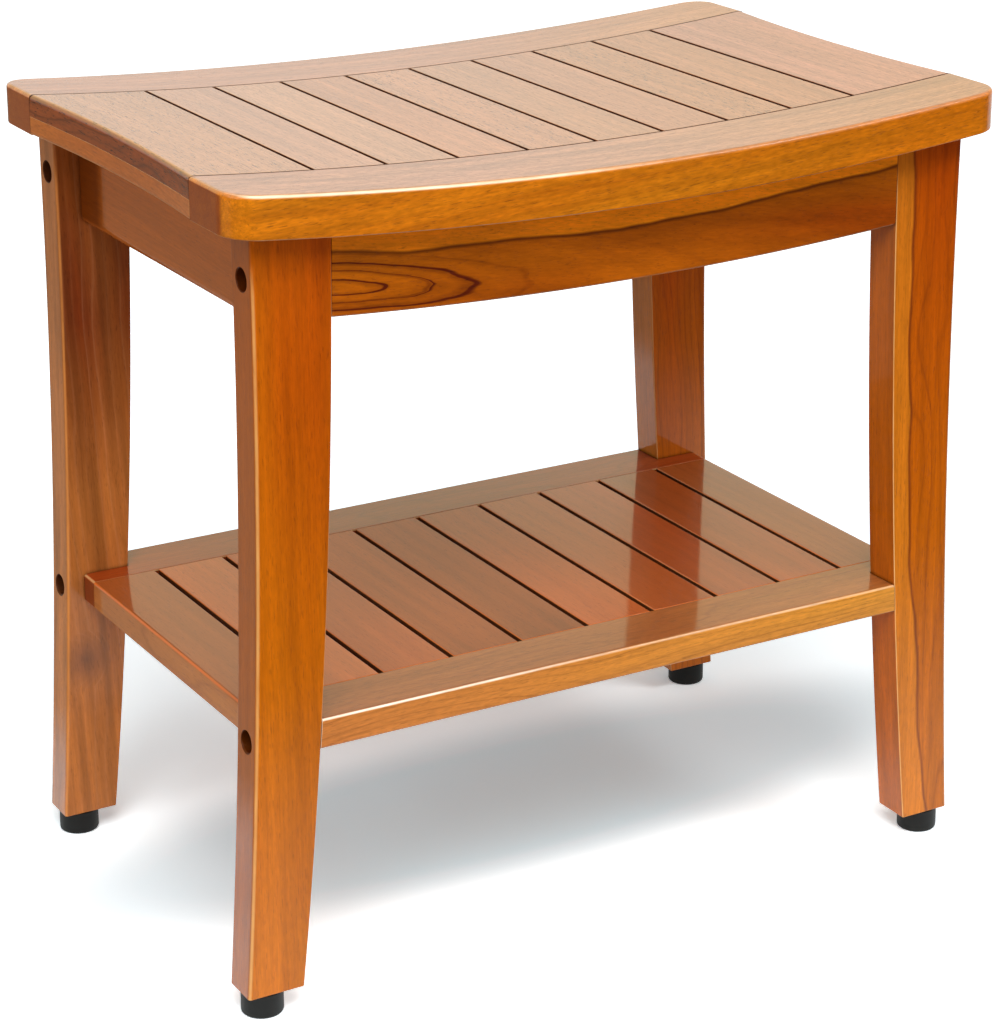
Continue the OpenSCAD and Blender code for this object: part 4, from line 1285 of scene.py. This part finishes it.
# Each slat's shine, and its tone at the front and at the back, partly its own and partly painted light
# where the back lies in the seat's shade.
SHELF_GLOSS = [1.0, 1.0, 0.85, 0.72, 0.68, 0.8, 0.92, 1.0, 1.05, 1.05]
SHELF_TONES = [("#934219", "#A54C1E"), ("#B55019", "#D25E1F"),
               ("#9E4216", "#C8561F"), ("#813812", "#CB5C22"),
               ("#763412", "#BF5824"), ("#B14C18", "#C0531B"),
               ("#903C12", "#C1531C"), ("#8E3510", "#BE4A19"),
               ("#9E3D10", "#96390E"), ("#8B3E18", "#9D471C")]

# The orange on the slats' arrises is partly a painted highlight.
for i in range(SLATS):
    name = "shelf_slat_%02d" % (i + 1)
    spans = slat_span(i, SHELF_PITCH, SHELF_GAP, SHELF_LEN)
    teak = varnished_teak("teak_" + name, "Y", (sum(spans) / 2, 0, 163), "#B0642C", "#BE7438",
                          "#7A3A14", pith=(16 + 8 * (i * 3 % 5), 26 + 7 * (i * 5 % 4)),
                          lean=(0.6 * (i % 3) - 0.6, 2.0), ring=7.0, contrast=0.3, flecks=0.03,
                          fibres=0.04, drift=0.9, rise=(-0.55, 0.55), gloss=SHELF_GLOSS[i],
                          facing=(UP, *SHELF_TONES[i]),
                          worn="#D8641E", worn_by=0.9, seed=70 + i)
    slat(name, i, spans, slat_section(SHELF_RUN / 2, SHELF_Z, SHELF_Z - SHELF_T, SHELF_TONGUE),
         lambda v, w, x: (x, v, w), (2.0, 0.7), 1.6, 0.5, teak, SHELF_TONGUE_STOP)

# %% [markdown]
# ## Fasteners
# The bolts, nuts, dowels, screws and threaded bushes are plain turned parts deep in the wood,
# and the CAD solids are right as they are. They only need their metals: blackened steel, zinc
# plating, brass, and raw beech for the dowels.

# %% Metals and beech
def metal(name, colour, dark, roughness, scale_mm):
    """A plated or blackened metal, with faint turning marks and a little uneven plating."""
    made, tree = new_material(name)
    place = add(tree, "TexCoord").outputs["Object"]
    marks = add(tree, "TexNoise", links={"Vector": place, "Scale": 1000 / scale_mm, "Detail": 3.0})
    tint = add(tree, "MixRGB", links={0: marks, 1: linear(colour), 2: linear(dark)})
    rough = add(tree, "MapRange", links={0: marks, 1: 0.3, 2: 0.7, 3: roughness * 0.8,
                                         4: roughness * 1.3})
    relief = add(tree, "Bump", links={"Height": marks, "Distance": 0.00004, "Strength": 0.4})
    surface = add(tree, "BsdfPrincipled", links={
        "Base Color": tint, "Metallic": 1.0, "Roughness": rough, "Normal": relief})
    add(tree, "OutputMaterial", links={"Surface": surface})
    return made


def raw_beech(name):
    """Unvarnished beech: pale, with short darker rays along the dowel."""
    made, tree = new_material(name)
    place = add(tree, "TexCoord").outputs["Object"]
    rays = add(tree, "TexNoise", links={"Vector": place, "Scale": 900.0, "Detail": 2.0})
    tint = add(tree, "MixRGB", links={0: rays, 1: linear("#DDBF90"), 2: linear("#C49A66")})
    surface = add(tree, "BsdfPrincipled", links={"Base Color": tint, "Roughness": 0.7})
    add(tree, "OutputMaterial", links={"Surface": surface})
    return made


# %% Fasteners
FASTENERS = {
    ("apron_bolts", "shelf_bolts"): metal("blackened_steel", "#3A3733", "#1E1C1A", 0.45, 1.2),
    ("apron_barrel_nuts", "shelf_barrel_nuts", "side_apron_screws", "long_apron_screws",
     "foot_stud_front_left", "foot_stud_back_left", "foot_stud_front_right",
     "foot_stud_back_right"): metal("zinc_plated_steel", "#B9B8B2", "#93928C", 0.32, 1.5),
    ("foot_inserts",): metal("turned_brass", "#C9A45A", "#A9843E", 0.30, 1.0),
    ("apron_dowels", "side_apron_dowels"): raw_beech("raw_beech")}
for names, finish in FASTENERS.items():
    for node_name in names:
        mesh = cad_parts[node_name].data
        mesh.materials.clear()
        mesh.materials.append(finish)
print("finished", sum(len(names) for names in FASTENERS), "nodes of fasteners")

# %% [markdown]
# ## Feet
# Each foot is a moulded black rubber pad on a stud, a short plain cylinder with a softened rim.
# It is turned here with fine rings at both rims, and its rubber is matt with a faint bloom. It
# rides on its own body, because the foot screws out of the leg.

# %% Moulded rubber
def moulded_rubber(name):
    """Black moulded rubber: matt, a little grey where it is handled, with a fine tooth."""
    made, tree = new_material(name)
    place = add(tree, "TexCoord").outputs["Object"]
    tooth = add(tree, "TexNoise", links={"Vector": place, "Scale": 1600.0, "Detail": 2.0})
    bloom = add(tree, "TexNoise", links={"Vector": place, "Scale": 90.0, "Detail": 2.0})
    tint = add(tree, "MixRGB", links={0: bloom, 1: linear("#0C0C0B"), 2: linear("#161615")})
    relief = add(tree, "Bump", links={"Height": tooth, "Distance": 0.00006, "Strength": 0.5})
    surface = add(tree, "BsdfPrincipled", links={
        "Base Color": tint, "Roughness": 0.55, "Specular IOR Level": 0.2, "Normal": relief})
    add(tree, "OutputMaterial", links={"Surface": surface})
    return made


# %% Feet
rubber = moulded_rubber("moulded_black_rubber")
PAD_R = 12.0
PAD_TOP = FOOT_H - 0.2
STUD_HOLE_R = 4.0
STUD_HOLE_Z = FOOT_H - 9
PAD_PROFILE = [(0, 0), (0, PAD_R - 1.6), (0.2, PAD_R - 0.8), (0.7, PAD_R - 0.25), (1.5, PAD_R),
               (PAD_TOP - 0.8, PAD_R), (PAD_TOP - 0.25, PAD_R - 0.2), (PAD_TOP, PAD_R - 0.8),
               (PAD_TOP, STUD_HOLE_R), (STUD_HOLE_Z, STUD_HOLE_R), (STUD_HOLE_Z, 0)]
for corner, (sx, sy) in CORNERS.items():
    name = "foot_pad_" + corner
    pad = turned(name, (sx * FOOT_X, sy * BOLT_Y, 0), UP, PAD_PROFILE, 64)
    finish_piece(pad, "foot_" + corner, rubber, name)
